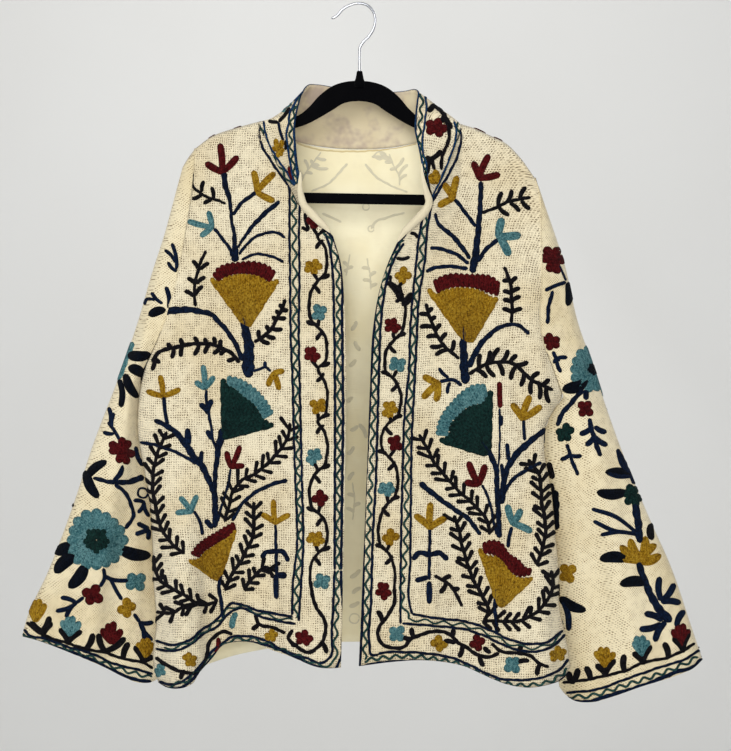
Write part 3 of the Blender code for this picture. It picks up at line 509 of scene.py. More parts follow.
def grid_faces(rows, columns, flip=False, keep=None):
    """The corner numbers of a grid's cells, four to a row of the result."""
    cells = np.ones((rows - 1, columns - 1), bool) if keep is None else keep
    j, i = np.nonzero(cells)
    corner = j * columns + i
    corners = np.stack([corner, corner + columns, corner + columns + 1, corner + 1], axis=1)
    return corners[:, ::-1] if flip else corners


def make_piece(name, points, faces, material, uv=None, ends=()):
    """An object from whole arrays: its points, its four-cornered faces, its end faces and a UV pair for
    each point."""
    groups = (faces, *ends)
    loops = np.concatenate([group.ravel() for group in groups])
    sizes = np.concatenate([np.full(len(group), group.shape[1]) for group in groups])
    used, loops = np.unique(loops, return_inverse=True)
    mesh = bpy.data.meshes.new(name)
    mesh.vertices.add(len(used))
    mesh.vertices.foreach_set("co", points[used].astype(np.float32).ravel())
    mesh.loops.add(len(loops))
    mesh.loops.foreach_set("vertex_index", loops.astype(np.int32).ravel())
    mesh.polygons.add(len(sizes))
    mesh.polygons.foreach_set("loop_start", np.concatenate([[0], np.cumsum(sizes)[:-1]]).astype(np.int32))
    mesh.polygons.foreach_set("loop_total", sizes.astype(np.int32))
    mesh.polygons.foreach_set("use_smooth", np.ones(len(sizes), bool))
    if uv is not None:
        layer = mesh.uv_layers.new(name="UVMap")
        layer.data.foreach_set("uv", uv[used][loops.ravel()].astype(np.float32).ravel())
    mesh.update(calc_edges=True)
    mesh.validate()
    mesh.materials.append(material)
    piece = bpy.data.objects.new(name, mesh)
    bpy.context.scene.collection.objects.link(piece)
    return piece


def give_wall(piece, thickness):
    """A wall of even thickness that grows inwards from the surface."""
    wall = piece.modifiers.new("wall", "SOLIDIFY")
    wall.thickness = thickness * MM
    wall.offset = -1
    wall.use_even_offset = False
    wall.use_rim = True


def grain(points, start_across):
    """A UV pair in metres for each point: the running length along its row and down its column, so that the
    weave keeps its size over a fold."""
    step = np.linalg.norm(np.diff(points[..., :2], axis=1), axis=2)
    u = np.concatenate([np.zeros((len(points), 1)), np.cumsum(step, axis=1)], axis=1)
    u = u - u[:, start_across][:, None] + points[:, start_across, 0][:, None]
    rise = np.linalg.norm(np.diff(points[..., 1:], axis=0), axis=2)
    v = np.concatenate([np.zeros((1, points.shape[1])), np.cumsum(rise, axis=0)], axis=0) - points[0, :, 2]
    return np.stack([u, v], axis=-1).reshape(-1, 2)


# The search for a stitch's place on a panel: how many grid rows and columns it starts from, how squarely they
# have to look the part's way, how many stitches go through at once, how many steps each takes, and the longest step
START_ROWS = 26
START_COLUMNS = 34
LEAST_TOWARDS = .05
AT_ONCE = 20000
SEARCH_STEPS = 14
LONGEST_STEP = 9


class Panel:
    """A cloth piece's face: the squares at which each grid point is seen, where it lies, and which way it
    faces. Parts are the ranges of columns in which a stitch plan may look for its place."""

    def __init__(self, name, table, flip, start=0, parts=None):
        self.name = name
        self.flip = flip
        self.look = table[..., :2] / SQUARE + HOOK_SQUARE
        self.points = seen(table)
        self.out = normals(self.points, flip)
        self.uv = grain(self.points, start)
        self.parts = parts or {"face": (0, table.shape[1] - 1)}

    def facing(self, part):
        """Whether a part of the panel looks to the front, below 0, or to the rear, above it."""
        low, high = self.parts[part]
        return float(self.out[:, low:high, 1].mean())

    def shell(self, material, thickness=CLOTH_WALL, lift=0.0, keep=None, name=None, ring=False):
        """The panel's surface, moved inwards by lift, as a walled piece. A ring's two ends are joined where
        they lie together, below the underarm."""
        rows, columns = self.points.shape[:2]
        points = (self.points - self.out * lift * MM).reshape(-1, 3)
        faces = grid_faces(rows, columns, self.flip, keep)
        if ring:
            apart = np.linalg.norm(self.points[:, 0] - self.points[:, -1], axis=1)
            j = np.nonzero((apart[:-1] < .0005) & (apart[1:] < .0005) & (np.arange(rows - 1) > rows // 4))[0]
            last = (j + 1) * columns - 1
            closing = np.stack([last, last + columns, (j + 1) * columns, j * columns], axis=1)
            faces = np.concatenate([faces, closing[:, ::-1] if self.flip else closing])
        piece = make_piece(name or self.name + "_cloth", points, faces, material, self.uv)
        give_wall(piece, thickness)
        return piece

    def read(self, layer, place):
        """A layer of the grid at places between its points, as the blend of the four nearest."""
        j = np.clip(place[:, 0].astype(int), 0, layer.shape[0] - 2)
        i = np.clip(place[:, 1].astype(int), 0, layer.shape[1] - 2)
        v = (place[:, 0] - j)[:, None]
        u = (place[:, 1] - i)[:, None]
        upper = layer[j, i] * (1 - u) + layer[j, i + 1] * u
        lower = layer[j + 1, i] * (1 - u) + layer[j + 1, i + 1] * u
        return upper * (1 - v) + lower * v, layer[j, i + 1] - layer[j, i], layer[j + 1, i] - layer[j, i]

    def find(self, squares, part):
        """The grid place of each point on the squared paper: the nearest of some grid points that look the
        part's way, then steps that solve the blend of the cell's four corners."""
        low, high = self.parts[part]
        rows = self.look.shape[0]
        j = np.linspace(0, rows - 1, START_ROWS).astype(int)
        i = np.linspace(low, high, START_COLUMNS).astype(int)
        starts = np.stack(np.meshgrid(j, i, indexing="ij"), axis=-1).reshape(-1, 2)
        towards = self.out[starts[:, 0], starts[:, 1], 1] * np.sign(self.facing(part))
        starts = starts[towards > LEAST_TOWARDS]
        marks = self.look[starts[:, 0], starts[:, 1]]
        place = np.empty((len(squares), 2))
        for first in range(0, len(squares), AT_ONCE):
            some = squares[first:first + AT_ONCE]
            far = ((some[:, None] - marks[None]) ** 2).sum(axis=2)
            place[first:first + AT_ONCE] = starts[far.argmin(axis=1)]
        for _ in range(SEARCH_STEPS):
            value, across, down = self.read(self.look, place)
            miss = squares - value
            spread = across[:, 0] * down[:, 1] - across[:, 1] * down[:, 0]
            spread = np.where(np.abs(spread) < 1e-6, 1e-6, spread)
            step_i = (miss[:, 0] * down[:, 1] - miss[:, 1] * down[:, 0]) / spread
            step_j = (across[:, 0] * miss[:, 1] - across[:, 1] * miss[:, 0]) / spread
            step = np.clip(np.column_stack([step_j, step_i]), -LONGEST_STEP, LONGEST_STEP)
            place = np.clip(place + step, (0, low), (rows - 1.001, high - .001))
        return place

    def place(self, squares, height, part):
        """Points in metres that stand the given height off the cloth where they are seen on the squares."""
        place = self.find(squares, part)
        return self.read(self.points, place)[0] + unit(self.read(self.out, place)[0]) * height[:, None] * MM


class Value:
    """The output of a node. Sums on it add Math nodes, and a plain number may stand on either side."""

    def __init__(self, paint, socket):
        self.paint = paint
        self.socket = socket

    def math(self, operation, *values):
        return self.paint.node("ShaderNodeMath", {"operation": operation}, values)

    def __add__(self, other):
        return self.math("ADD", self, other)

    def __radd__(self, other):
        return self.math("ADD", other, self)

    def __sub__(self, other):
        return self.math("SUBTRACT", self, other)

    def __rsub__(self, other):
        return self.math("SUBTRACT", other, self)

    def __mul__(self, other):
        return self.math("MULTIPLY", self, other)

    def __rmul__(self, other):
        return self.math("MULTIPLY", other, self)

    def __pow__(self, other):
        return self.math("POWER", self, other)

    def sine(self):
        return self.math("SINE", self)

    def size(self):
        return self.math("ABSOLUTE", self)

    def part(self):
        return self.math("FRACT", self)

    def whole(self):
        return self.math("FLOOR", self)

    def most(self, other):
        return self.math("MAXIMUM", self, other)

    def between(self, low, high, out_low=0.0, out_high=1.0):
        """The value's place between low and high, with smooth ends, carried to the new range."""
        settings = {"interpolation_type": "SMOOTHSTEP"}
        return self.paint.node("ShaderNodeMapRange", settings, (self, low, high, out_low, out_high))


class Paint:
    """A material whose nodes are added one call at a time."""

    def __init__(self, name, constants):
        self.material = bpy.data.materials.new(name)
        self.material.use_nodes = True
        self.tree = self.material.node_tree
        self.shader = self.tree.nodes["Principled BSDF"]
        for socket, value in constants.items():
            self.shader.inputs[socket].default_value = value

    def node(self, kind, settings=None, values=(), output=0):
        """A node with its settings set first, then the values or links of its sockets."""
        node = self.tree.nodes.new(kind)
        for name, value in (settings or {}).items():
            setattr(node, name, value)
        pairs = values.items() if isinstance(values, dict) else enumerate(values)
        for key, value in pairs:
            if isinstance(value, Value):
                self.tree.links.new(value.socket, node.inputs[key])
            elif value is not None:
                node.inputs[key].default_value = value
        return Value(self, node.outputs[output])

    def place(self):
        return self.node("ShaderNodeTexCoord", output="Object")

    def uv(self):
        """The piece's own UV pair."""
        return self.node("ShaderNodeUVMap", {"uv_map": "UVMap"})

    def split(self, vector, count=2):
        parts = self.node("ShaderNodeSeparateXYZ", values=(vector,)).socket.node
        return tuple(Value(self, parts.outputs[k]) for k in range(count))

    def join(self, x, y, z=0.0):
        return self.node("ShaderNodeCombineXYZ", values=(x, y, z))

    def noise(self, vector, scale, detail=2.0, roughness=.5):
        values = {"Vector": vector, "Scale": scale, "Detail": detail, "Roughness": roughness}
        return self.node("ShaderNodeTexNoise", values=values)

    def cells(self, vector, scale):
        """A number from 0 to 1 for each cell of a scattered pattern."""
        pattern = self.node("ShaderNodeTexVoronoi", values={"Vector": vector, "Scale": scale}, output="Color")
        return self.split(pattern)[0]

    def blend(self, factor, first, second):
        """The first colour at a factor of 0, and the second at 1."""
        values = {0: factor, 6: first, 7: second}
        return self.node("ShaderNodeMix", {"data_type": "RGBA"}, values, output=2)

    def send(self, socket, value):
        self.tree.links.new(value.socket, self.shader.inputs[socket])

    def raise_by(self, height, distance, strength=1.0):
        """The surface is tilted as a relief of this height in metres would be."""
        values = {"Strength": strength, "Distance": distance, "Height": height}
        self.send("Normal", self.node("ShaderNodeBump", values=values))


def colour(red, green, blue):
    """A colour from screen values of 0 to 255."""
    screen = np.array([red, green, blue]) / 255
    linear = np.where(screen <= .04045, screen / 12.92, ((screen + .055) / 1.055) ** 2.4)
    return (*(float(value) for value in linear), 1.0)


def weave_paint(name, pitch, light, shade, hole_shade, turn=0.0, open_share=.66, relief=.8):
    """Plain weave of a pitch in metres: two sets of threads, each a squared sine across, that pass over and
    under by the sign of the two sines' product. The holes where both sets are thin are painted dark, as painted
    shade for the shade seen through the open weave, and slow noise bends and thickens the threads. A turned
    weave lies at that angle over the object, not along the piece's own UV."""
    paint = Paint(name, {"Roughness": .92, "Sheen Weight": .25, "Sheen Roughness": .5, "Specular IOR Level": .2})
    pair = paint.uv()
    u, v = paint.split(pair)
    if turn:
        u, depth, v = paint.split(paint.place(), 3)
        u = u + depth * .8
        u, v = u * np.cos(turn) - v * np.sin(turn), u * np.sin(turn) + v * np.cos(turn)
        pair = paint.join(u, v)
    sway = paint.noise(pair, 38, 2)
    x = u * (1 / pitch) + sway * .9 + paint.noise(pair, 190, 1) * .9
    other = paint.join(v, u)
    y = v * (1 / pitch) + paint.noise(other, 38, 2) * .9 + paint.noise(other, 190, 1) * .9
    thick_x = paint.noise(paint.join(u * 700, v * 22), 1, 2)
    thick_y = paint.noise(paint.join(u * 22, v * 700), 1, 2)
    sine_x = (x * np.pi).sine()
    sine_y = (y * np.pi).sine()
    warp = (sine_x * sine_x) ** .7 * (thick_x * .9 + .55)
    weft = (sine_y * sine_y) ** .7 * (thick_y * .9 + .55)
    over = sine_x * sine_y
    height = (warp * (over * .35 + .7)).most(weft * (over * -.35 + .7))
    gap = (height * -1.0).between(-open_share, -open_share * .3)
    slow = paint.noise(paint.place(), 9, 3, .6)
    fibre = paint.noise(paint.place(), 900, 2)
    cloth = paint.blend(slow.between(.35, .7), light, shade)
    cloth = paint.blend(fibre.between(.3, .8) * .35 + (thick_x - .5).size() * .5, cloth, shade)
    patches = paint.noise(paint.place(), 110, 3, .7).between(.4, .6, .25, 1)
    # Painted shade: the weave's holes darken towards the hole shade colour, in random patches
    paint.send("Base Color", paint.blend(gap * patches, cloth, hole_shade))
    paint.send("Roughness", fibre.between(.2, .8, .86, .97))
    paint.raise_by(height + fibre * .25, .0012, relief)
    return paint.material


def lining_paint(name, light, shade, mark, clouding=.2):
    """Fine cotton: close threads that only ripple the surface, faint long slubs, and slow paler and darker
    clouds where the outer cloth's stitches press through."""
    paint = Paint(name, {"Roughness": .8, "Sheen Weight": .2, "Sheen Roughness": .4, "Specular IOR Level": .25})
    u, v = paint.split(paint.uv())
    fine = (u * 5200).sine() * .5 + (v * 5200).sine() * .5
    slub = paint.noise(paint.join(u * 60, v * 900), 1, 2)
    slow = paint.noise(paint.place(), 11, 3, .55)
    cloth = paint.blend(slow.between(.38, .7), light, shade)
    cloth = paint.blend(slub.between(.5, .9) * .35, cloth, shade)
    cloud = paint.noise(paint.place(), 28, 3, .6).between(.44, .66) * clouding
    paint.send("Base Color", paint.blend(cloud, cloth, mark))
    paint.send("Roughness", slub.between(.2, .8, .76, .9))
    paint.raise_by(fine * .3 + slub * .8 + slow * 2, .0007, .5)
    return paint.material


def wool_paint(name, base, shade_and_speck, pale):
    """Rows of chain stitch. The UV pair counts links along a stroke and rows across it. In each link two
    strands lie at plus and minus .27 times the sine of the way along it, round in section, with a fuzz of
    fine fibres and a tint that differs from link to link and from one skein to the next. The low places between
    the strands are painted darker, as painted shade, and random specks darken too."""
    paint = Paint(name, {"Roughness": .97, "Sheen Weight": .02, "Sheen Roughness": .5, "Specular IOR Level": .04})
    u, v = paint.split(paint.uv())
    row = v.whole()
    link = u + row * .37
    across = v.part() - .5
    bow = (link.part() * np.pi).sine() ** .6
    strand = (across.size() - bow * .27).size()
    height = (1 - (strand * 4.2) ** 2).most(0)
    fuzz = paint.noise(paint.place(), 1500, 3, .7)
    tint = paint.cells(paint.join(link.whole(), row), 1)
    skein = paint.noise(paint.place(), 45, 2)
    speck = paint.noise(paint.place(), 430, 3, .65)
    wool = paint.blend(tint * .35 + skein.between(.4, .65) * .15 + speck.between(.48, .66) * .5, base, pale)
    # Painted shade: the colour darkens where the strands' height falls away between them, and in random dark specks
    groove_shade_and_speck = (1 - height) * .6 + speck.between(.5, .36) * .5
    paint.send("Base Color", paint.blend(groove_shade_and_speck.between(.15, 1), wool, shade_and_speck))
    paint.send("Roughness", fuzz.between(.2, .8, .9, 1))
    paint.raise_by(height + fuzz * .35 + speck * .5, .0011, .9)
    return paint.material


def flock_paint():
    """Black flock: tiny upright fibres as fine noise, rubbed a little paler in slow patches."""
    constants = {"Roughness": .95, "Sheen Weight": .04, "Sheen Roughness": .35, "Specular IOR Level": .04}
    paint = Paint("flock", constants)
    fibre = paint.noise(paint.place(), 2600, 2, .7)
    rub = paint.noise(paint.place(), 30, 3)
    pale = fibre.between(.3, .8) * .5 + rub.between(.5, .8) * .3
    paint.send("Base Color", paint.blend(pale, colour(3, 3, 4), colour(16, 16, 19)))
    paint.send("Roughness", fibre.between(.2, .8, .88, 1))
    paint.raise_by(fibre, .0005, .6)
    return paint.material


def chrome_paint():
    """Bright plated wire with faint drawn lines and slight clouding."""
    paint = Paint("chrome", {"Metallic": 1.0})
    cloud = paint.noise(paint.place(), 160, 3)
    paint.send("Base Color", paint.blend(cloud, colour(208, 210, 214), colour(170, 172, 178)))
    paint.send("Roughness", cloud.between(.3, .7, .12, .3))
    paint.raise_by(paint.noise(paint.place(), 1200, 2), .0002, .15)
    return paint.material


def wall_paint(name, base, other):
    """Smooth pale paint with hardly visible clouds."""
    paint = Paint(name, {"Roughness": .9, "Specular IOR Level": .1})
    paint.send("Base Color", paint.blend(paint.noise(paint.place(), 1.5, 2), base, other))
    return paint.material


# The third colour of each weave is the painted shade of its holes
OUTER = weave_paint("open_cotton", .0027, colour(239, 228, 197), colour(225, 209, 171), colour(88, 66, 38))
# The sleeves' cloth is painted darker than the body's: partly a yellower tone, partly painted shade for the less lit
# sleeves
SLEEVE = weave_paint(
    "open_cotton_bias", .0022, colour(232, 220, 186), colour(216, 200, 160), colour(118, 94, 62),
    turn=.785, open_share=.58, relief=.35,
)
# Columns: the paint's name, its light, shade and mark colours and how strong its clouds are
INSIDE, INSIDE_COLLAR, ROLLED, PRESSED_MARKS, SEAM_LINE = [
    lining_paint(name, colour(*light), colour(*shade), colour(*mark), clouding)
    for name, light, shade, mark, clouding in (
        # The back lining is painted paler than the cotton's own tone, as painted light against the shade inside the
        # jacket
        ("fine_cotton", (250, 242, 208), (243, 232, 192), (220, 206, 170), .2),
        # The collar lining is painted darker, as painted shade inside the collar, and its strong clouds are stains
        ("fine_cotton_worn", (228, 216, 184), (214, 198, 162), (172, 152, 140), .8),
        ("fine_cotton_white", (230, 219, 188), (216, 203, 170), (196, 182, 150), .2),
        ("pressed_marks", (226, 218, 188), (218, 210, 182), (204, 198, 174), .2),
        ("seam_line", (228, 208, 156), (218, 198, 148), (196, 178, 138), .2),
    )
]
# Columns: the wool's name, its own colour, the colour of its painted shade between strands and of its dark specks,
# and its palest colour
WOOL = {
    name: wool_paint("wool_" + name, colour(*base), colour(*shade_and_speck), colour(*pale)) for name, base, shade_and_speck, pale in (
        ("navy", (4, 15, 36), (1, 3, 9), (18, 40, 72)),
        ("black", (8, 7, 10), (1, 1, 1), (34, 31, 36)),
        ("teal", (62, 114, 120), (14, 46, 56), (126, 172, 172)),
        ("green", (6, 34, 32), (1, 10, 10), (28, 66, 60)),
        ("maroon", (68, 5, 8), (22, 1, 2), (112, 26, 28)),
        ("mustard", (150, 106, 8), (66, 40, 2), (206, 166, 50)),
        ("blue", (8, 38, 74), (2, 12, 28), (36, 80, 122)),
        ("ink", (2, 6, 14), (0, 1, 3), (10, 20, 36)),
        ("sage", (18, 50, 48), (4, 18, 18), (60, 98, 90)),
    )
}
THREADS = {**WOOL, "pressed_marks": PRESSED_MARKS, "seam_line": SEAM_LINE}

# Wool, in squares: the step between a stroke's rings, and the finer step of a wave
STITCH_STEP = 1.45
WAVE_STEP = 1.2
# Wool, in millimetres: a chain stitch's link, a row of links, and how high a row stands
LINK_LENGTH = 3.0
ROW_WIDTH = 2.3
STITCH_RISE = 1.25
# How much of that height a stitch keeps where it is pressed through to the lining
MARK_RISE = .12
# The section of a row of wool: place across, from -1 to 1, and height, from 0 to 1. The last point lies in the cloth
WOOL_SECTION = np.array([(-1, -.25), (-.78, .72), (0, 1), (.78, .72), (1, -.25), (0, -.55)])
# How much fuller a wool lies than its plan's widths
FULLER = {"black": 1.3, "navy": 1.05, "blue": 1.1, "maroon": 1.16, "mustard": 1.16, "teal": 1.16}
FULLER_OTHERS = 1.15
TULIP_FULLER = 1.12
# A leaf wider than this is pointed
ROUND_LEAF = 7.6
# A run longer than this sways
STEADY_RUN = 30
VINE_FLOWER = 9.8
VINE_REACH = 8.5


def run_through(points, step=STITCH_STEP):
    """A smooth line through the points at even steps, with how far along it each point lies."""
    points = np.asarray(points, float)
    if len(points) > 2:
        points = along(points, np.linspace(0, 1, 12 * len(points)))
    length = lengths(points)
    count = max(int(np.ceil(length[-1] / step)) + 1, 5)
    share = np.linspace(0, 1, count)
    return read_at(share * length[-1], length, points), share, length[-1]


def read_at(spots, places, points):
    """Points between the given ones, at spots on the scale of their places."""
    return np.column_stack([np.interp(spots, places, points[:, k]) for k in (0, 1)])


def beside(path):
    """Unit vectors square to a path on the paper."""
    return square_to(unit(np.gradient(path, axis=0)))


class Stitching:
    """The wool on one panel: strokes are gathered by colour and part, and each colour becomes one piece."""

    def __init__(self, panel, part, inside=0.0):
        self.panel = panel
        self.part = part
        self.inside = inside
        self.strokes = {}
        self.count = 0

    def stroke(self, wool, path, widths, share, length, rise=1.0):
        """One row or band of wool: a low dome carried along the path, narrowed to round ends."""
        half = np.maximum(widths / 2, .3)
        to_end = np.minimum(share, 1 - share) * length
        ends = np.sqrt(np.clip(1 - (1 - np.clip(to_end / half, 0, 1)) ** 2, .03, 1))
        half = half * ends
        squares = path[:, None] + beside(path)[:, None] * half[:, None, None] * WOOL_SECTION[None, :, :1]
        height = STITCH_RISE * rise * WOOL_SECTION[None, :, 1] * np.sqrt(ends)[:, None]
        rows = max(1, round(float(np.max(widths)) * SQUARE / ROW_WIDTH))
        u = share * length * SQUARE / LINK_LENGTH + self.count * .618
        v = (WOOL_SECTION[:, 0] + 1) / 2 * rows
        uv = np.stack(np.broadcast_arrays(u[:, None], v[None]), axis=-1)
        self.strokes.setdefault(wool, []).append((squares, height, uv))
        self.count += 1

    def line(self, wool, widths, points, rise=1.0):
        """A row of wool through the points, a little unsteady, as a hand leads it."""
        path, share, length = run_through(points)
        widths = np.interp(share, np.linspace(0, 1, len(widths)), widths)
        if length > STEADY_RUN:
            at = share * length
            sway = .24 * np.sin(at * .31 + self.count) + .14 * np.sin(at * .83 + self.count * 2.1)
            path = path + beside(path) * (sway * np.sin(np.pi * share) ** .3)[:, None]
            widths = widths * (1 + .1 * np.sin(at * .57 + self.count * 1.7))
        self.stroke(wool, path, widths, share, length, rise)

    def petal(self, wool, width, tip, root, bow=.08, pointed=False):
        """A petal or leaf from its root to its tip, bowed a little: round and widest past the middle, or, when
        pointed, widest in the middle by the sine of the way along it."""
        tip, root = np.asarray(tip, float), np.asarray(root, float)
        run = tip - root
        way = run / max(np.linalg.norm(run), 1e-9) * width
        tip, root, run = tip + way * .12, root - way * .28, run + way * .4
        middle = (tip + root) / 2 + np.array([-run[1], run[0]]) * bow * (1 if self.count % 2 else -1)
        path, share, length = run_through([root, middle, tip])
        profile = .8 + .2 * np.sin(np.pi * np.clip(share, 0, 1) ** 1.5)
        if pointed:
            profile = .3 + .78 * np.sin(np.pi * np.clip(share, 0, 1) ** .9) ** .55
        self.stroke(wool, path, width * profile, share, length)

    def wave(self, wool, width, period, swing, points):
        """A sine wave about the run."""
        path, share, length = run_through(points, WAVE_STEP)
        turns = max(round(length / period), 1)
        late = .9 * np.sin(share * length * .045 + self.count)
        path = path + beside(path) * (swing * np.sin(share * turns * 2 * np.pi + late))[:, None]
        self.stroke(wool, path, np.full(len(path), float(width)), share, length)

    def sprig(self, wool, width, leaf_width, points, tips):
        """A stem, and a leaf from each tip to the stem a little nearer to the stem's start."""
        self.line(wool, [width], points)
        path = run_through(points)[0]
        far = np.linalg.norm(tips[:, None] - path[None], axis=2)
        back = (far.min(axis=1) * .55 / STITCH_STEP).astype(int)
        near = np.clip(far.argmin(axis=1) - back, 0, len(path) - 1)
        for tip, root in zip(tips, path[near]):
            self.petal(wool, leaf_width, tip, root)

    def garland(self, wool, width, leaf_width, gap, reach, points):
        """A stem from its tip to its foot, with leaves on each side in turn, a gap apart and slanted to the tip."""
        path, _, length = run_through(points)
        aside = beside(path)
        ahead = unit(np.gradient(path, axis=0))
        count = max(int(length / gap), 2)
        spots = ((np.arange(count) + .85) / count * (len(path) - 1)).astype(int)
        uneven = np.sin(np.arange(count) * 2.3 + self.count)[:, None]
        widths = [leaf_width * .6, leaf_width * .8, leaf_width]
        for side in (1, -1):
            spots = np.clip(spots + int(gap * .3 / STITCH_STEP) * (side < 0), 0, len(path) - 1)
            slant = .75 + .2 * uneven * side
            tips = path[spots] + (aside[spots] * side * .82 - ahead[spots] * slant) * reach * (1.6 + .16 * uneven)
            for tip, root in zip(tips, path[spots]):
                self.line(wool, widths, [root, tip])
        self.line(wool, [width], points)

    def flower(self, wool, count, radius, middle, turn):
        """Round petals about a point."""
        lobe = np.arange(count)
        aim = ways(turn + lobe / count * 2 * np.pi + .2 * np.sin(lobe * 2.4 + self.count))
        width = min(1.32 * np.sin(np.pi / count), .86) * radius
        for way, far in zip(aim, radius * (.93 + .08 * np.sin(lobe * 1.9 + self.count))):
            self.line(wool, [width * .85, width, width * 1.12], [middle - way * radius * .1, middle + way * far])

    def bloom(self, wool, heart, count, radius, heart_radius, middle):
        """A large flower: many round petals about a ragged heart of short strokes."""
        angle = np.arange(count) / count * 2 * np.pi
        width = 2 * np.pi * radius / count
        for way, far in zip(ways(angle), radius * (1 + .05 * np.sin(angle * 3 + 1))):
            run = [middle + way * heart_radius * .6, middle + way * far]
            self.line(wool, [width * .62, width * .9, width * 1.04], run)
        for share, strokes in ((1.08, 13), (.62, 8)):
            angle = np.arange(strokes) / strokes * 2 * np.pi + share
            for way, far in zip(ways(angle), heart_radius * share * (1 + .12 * np.sin(angle * 5))):
                run = [middle + way * heart_radius * .05, middle + way * far]
                self.line(heart, [heart_radius * .5, heart_radius * .62], run, rise=1.4)

    def comb(self, wool, width, count, first, second):
        """Round-ended strokes side by side, from one edge to the other, with a row of wool under each two."""
        spots = (np.arange(count) + .5) / count
        starts, ends = [read_at(spots, share, path) for path, share, _ in map(run_through, (first, second))]
        on = unit(ends - starts)
        starts, ends = starts - on * .5, ends + on * 2
        gap, foot_gap = [np.linalg.norm(np.gradient(edge, axis=0), axis=1) for edge in (starts, ends)]
        under = np.stack([starts * .62 + ends * .38, ends * .8 + starts * .2])
        for k in range(count - 1):
            self.line(wool, [gap[k], max(foot_gap[k], 1.8)], under[:, k:k + 2].mean(axis=1))
        for start, end, wide, narrow in zip(starts, ends, gap, foot_gap):
            self.line(wool, [min(wide * 1.22, width * 1.7), max(narrow * 1.2, 2.2)], [start, end])

    def ring(self, wool, radius, width, middle):
        """A circle of wool."""
        self.line(wool, [width], middle + ways(np.linspace(0, 2 * np.pi, 13)) * radius)

    def vine(self, wool, band, flowers):
        """A flowered band. The stem keeps to the side away from each flower and crosses the band's middle
        between two, with a stalk back to the flower that it has passed and a leaf on either side."""

        def middle_and_side(flower):
            """The band's middle beside a flower, and the side of it on which the flower lies."""
            middle = hang(band, flower[1])
            return middle, 1.0 if flower[0] > middle else -1.0

        path = []
        for flower, following in zip(flowers, flowers[1:]):
            x, y, foot = flower[0], flower[1], following[1]
            middle, side = middle_and_side(flower)
            next_side = middle_and_side(following)[1]
            cross = y + min(14.0, (foot - y) * .36)
            centre = hang(band, cross)
            path += [
                (middle - side * VINE_REACH, y), (centre - side * VINE_REACH * .75, y + (cross - y) * .6),
                (centre, cross), (centre - next_side * VINE_REACH * .8, cross + (foot - cross) * .35),
            ]
            self.line(wool, [4.6, 3.4], [(x, y + 6), (centre, cross)])
            root = (centre - side * VINE_REACH * .4, cross - 3)
            self.petal(wool, 5, (centre - side * (VINE_REACH + 3), cross - 6), root)
            root = (centre - next_side * VINE_REACH * .6, cross + 5)
            self.petal(wool, 4.6, (centre + next_side * VINE_REACH * .2, cross + 13), root)
        middle, side = middle_and_side(flowers[-1])
        path.append((middle - side * VINE_REACH, flowers[-1][1]))
        self.line(wool, [3.2, 3.9, 3.3, 3.8, 3.2], path)
        for k, (x, y, petals) in enumerate(flowers):
            self.flower(petals, 4 + k % 2, VINE_FLOWER, np.array([x, y]), k * 1.3)

    def follow(self, plan):
        """Sews every line of a stitch plan. A line that starts with spaces goes on with the one above it."""
        for text in plan.strip().replace("\n  ", " ").splitlines():
            head, runs = text.split(" : ")
            kind, wool, *sizes = head.split()
            heart = sizes.pop(0) if kind == "bloom" else None
            sizes = np.array(sizes, float)
            if kind in ("line", "leaf", "tulip", "sprig", "garland"):
                widths = slice(None if kind == "line" else 2)
                sizes[widths] *= FULLER.get(wool, FULLER_OTHERS)
            runs = [np.array(run.split(), float).reshape(-1, 2) for run in runs.split(" / ")]
            if kind in ("sprig", "comb"):
                runs = zip(runs[::2], runs[1::2])
            for run in runs:
                self.sew(kind, wool, heart, sizes, run)

    def sew(self, kind, wool, heart, sizes, run):
        """Sews one run of a plan's line, which holds a pair of runs for a sprig or comb, and for a leaf or
        flower the places of as many as there are."""
        if kind == "line":
            self.line(wool, sizes, run)
        elif kind == "leaf":
            for tip, root in run.reshape(-1, 2, 2):
                self.petal(wool, sizes[0], tip, root, pointed=sizes[0] > ROUND_LEAF)
        elif kind == "tulip":
            for tip in run[1:]:
                self.petal(wool, sizes[0] * TULIP_FULLER, tip, run[0], bow=.03)
        elif kind == "flower":
            for middle in run:
                self.flower(wool, int(sizes[0]), sizes[1], middle, self.count * .7)
        elif kind == "bloom":
            self.bloom(wool, heart, int(sizes[0]), sizes[1], sizes[2], run[0])
        elif kind == "comb":
            self.comb(wool, sizes[0], int(sizes[1]), *run)
        elif kind == "sprig":
            self.sprig(wool, *sizes, *run)
        elif kind == "ring":
            self.ring(wool, *sizes, run[0])
        elif kind == "garland":
            self.garland(wool, *sizes, run)
        elif kind == "wave":
            self.wave(wool, *sizes, run)

    def pieces(self):
        """One closed mesh for each wool: the strokes' rings joined along, with a cap on each end."""
        made = []
        sides = len(WOOL_SECTION)
        k = np.arange(sides)
        after = (k + 1) % sides
        for wool, strokes in sorted(self.strokes.items()):
            squares, height, uv = [np.concatenate(layer) for layer in zip(*strokes)]
            sizes = np.array([len(stroke[0]) for stroke in strokes])
            last = np.cumsum(sizes) - 1
            corner = np.setdiff1d(np.arange(len(squares)), last)[:, None] * sides
            quads = np.stack([corner + k, corner + after, corner + sides + after, corner + sides + k], axis=-1)
            ends = [quads.reshape(-1, 4), (last - sizes + 1)[:, None] * sides + k[::-1], last[:, None] * sides + k]
            facing = self.panel.facing(self.part)
            suffix = "" if self.part == "face" else "_" + self.part
            name = f"stitches_{wool}_{self.panel.name}{suffix}"
            if self.inside:
                height, facing = -(self.inside + height * MARK_RISE), -facing
                name = f"{wool}_{self.panel.name}_lining"
            points = self.panel.place(squares.reshape(-1, 2), height.ravel(), self.part)
            if facing > 0:
                ends = [faces[:, ::-1] for faces in ends]
            made.append(make_piece(name, points, ends[0], THREADS[wool], uv.reshape(-1, 2), ends[1:]))
        return made


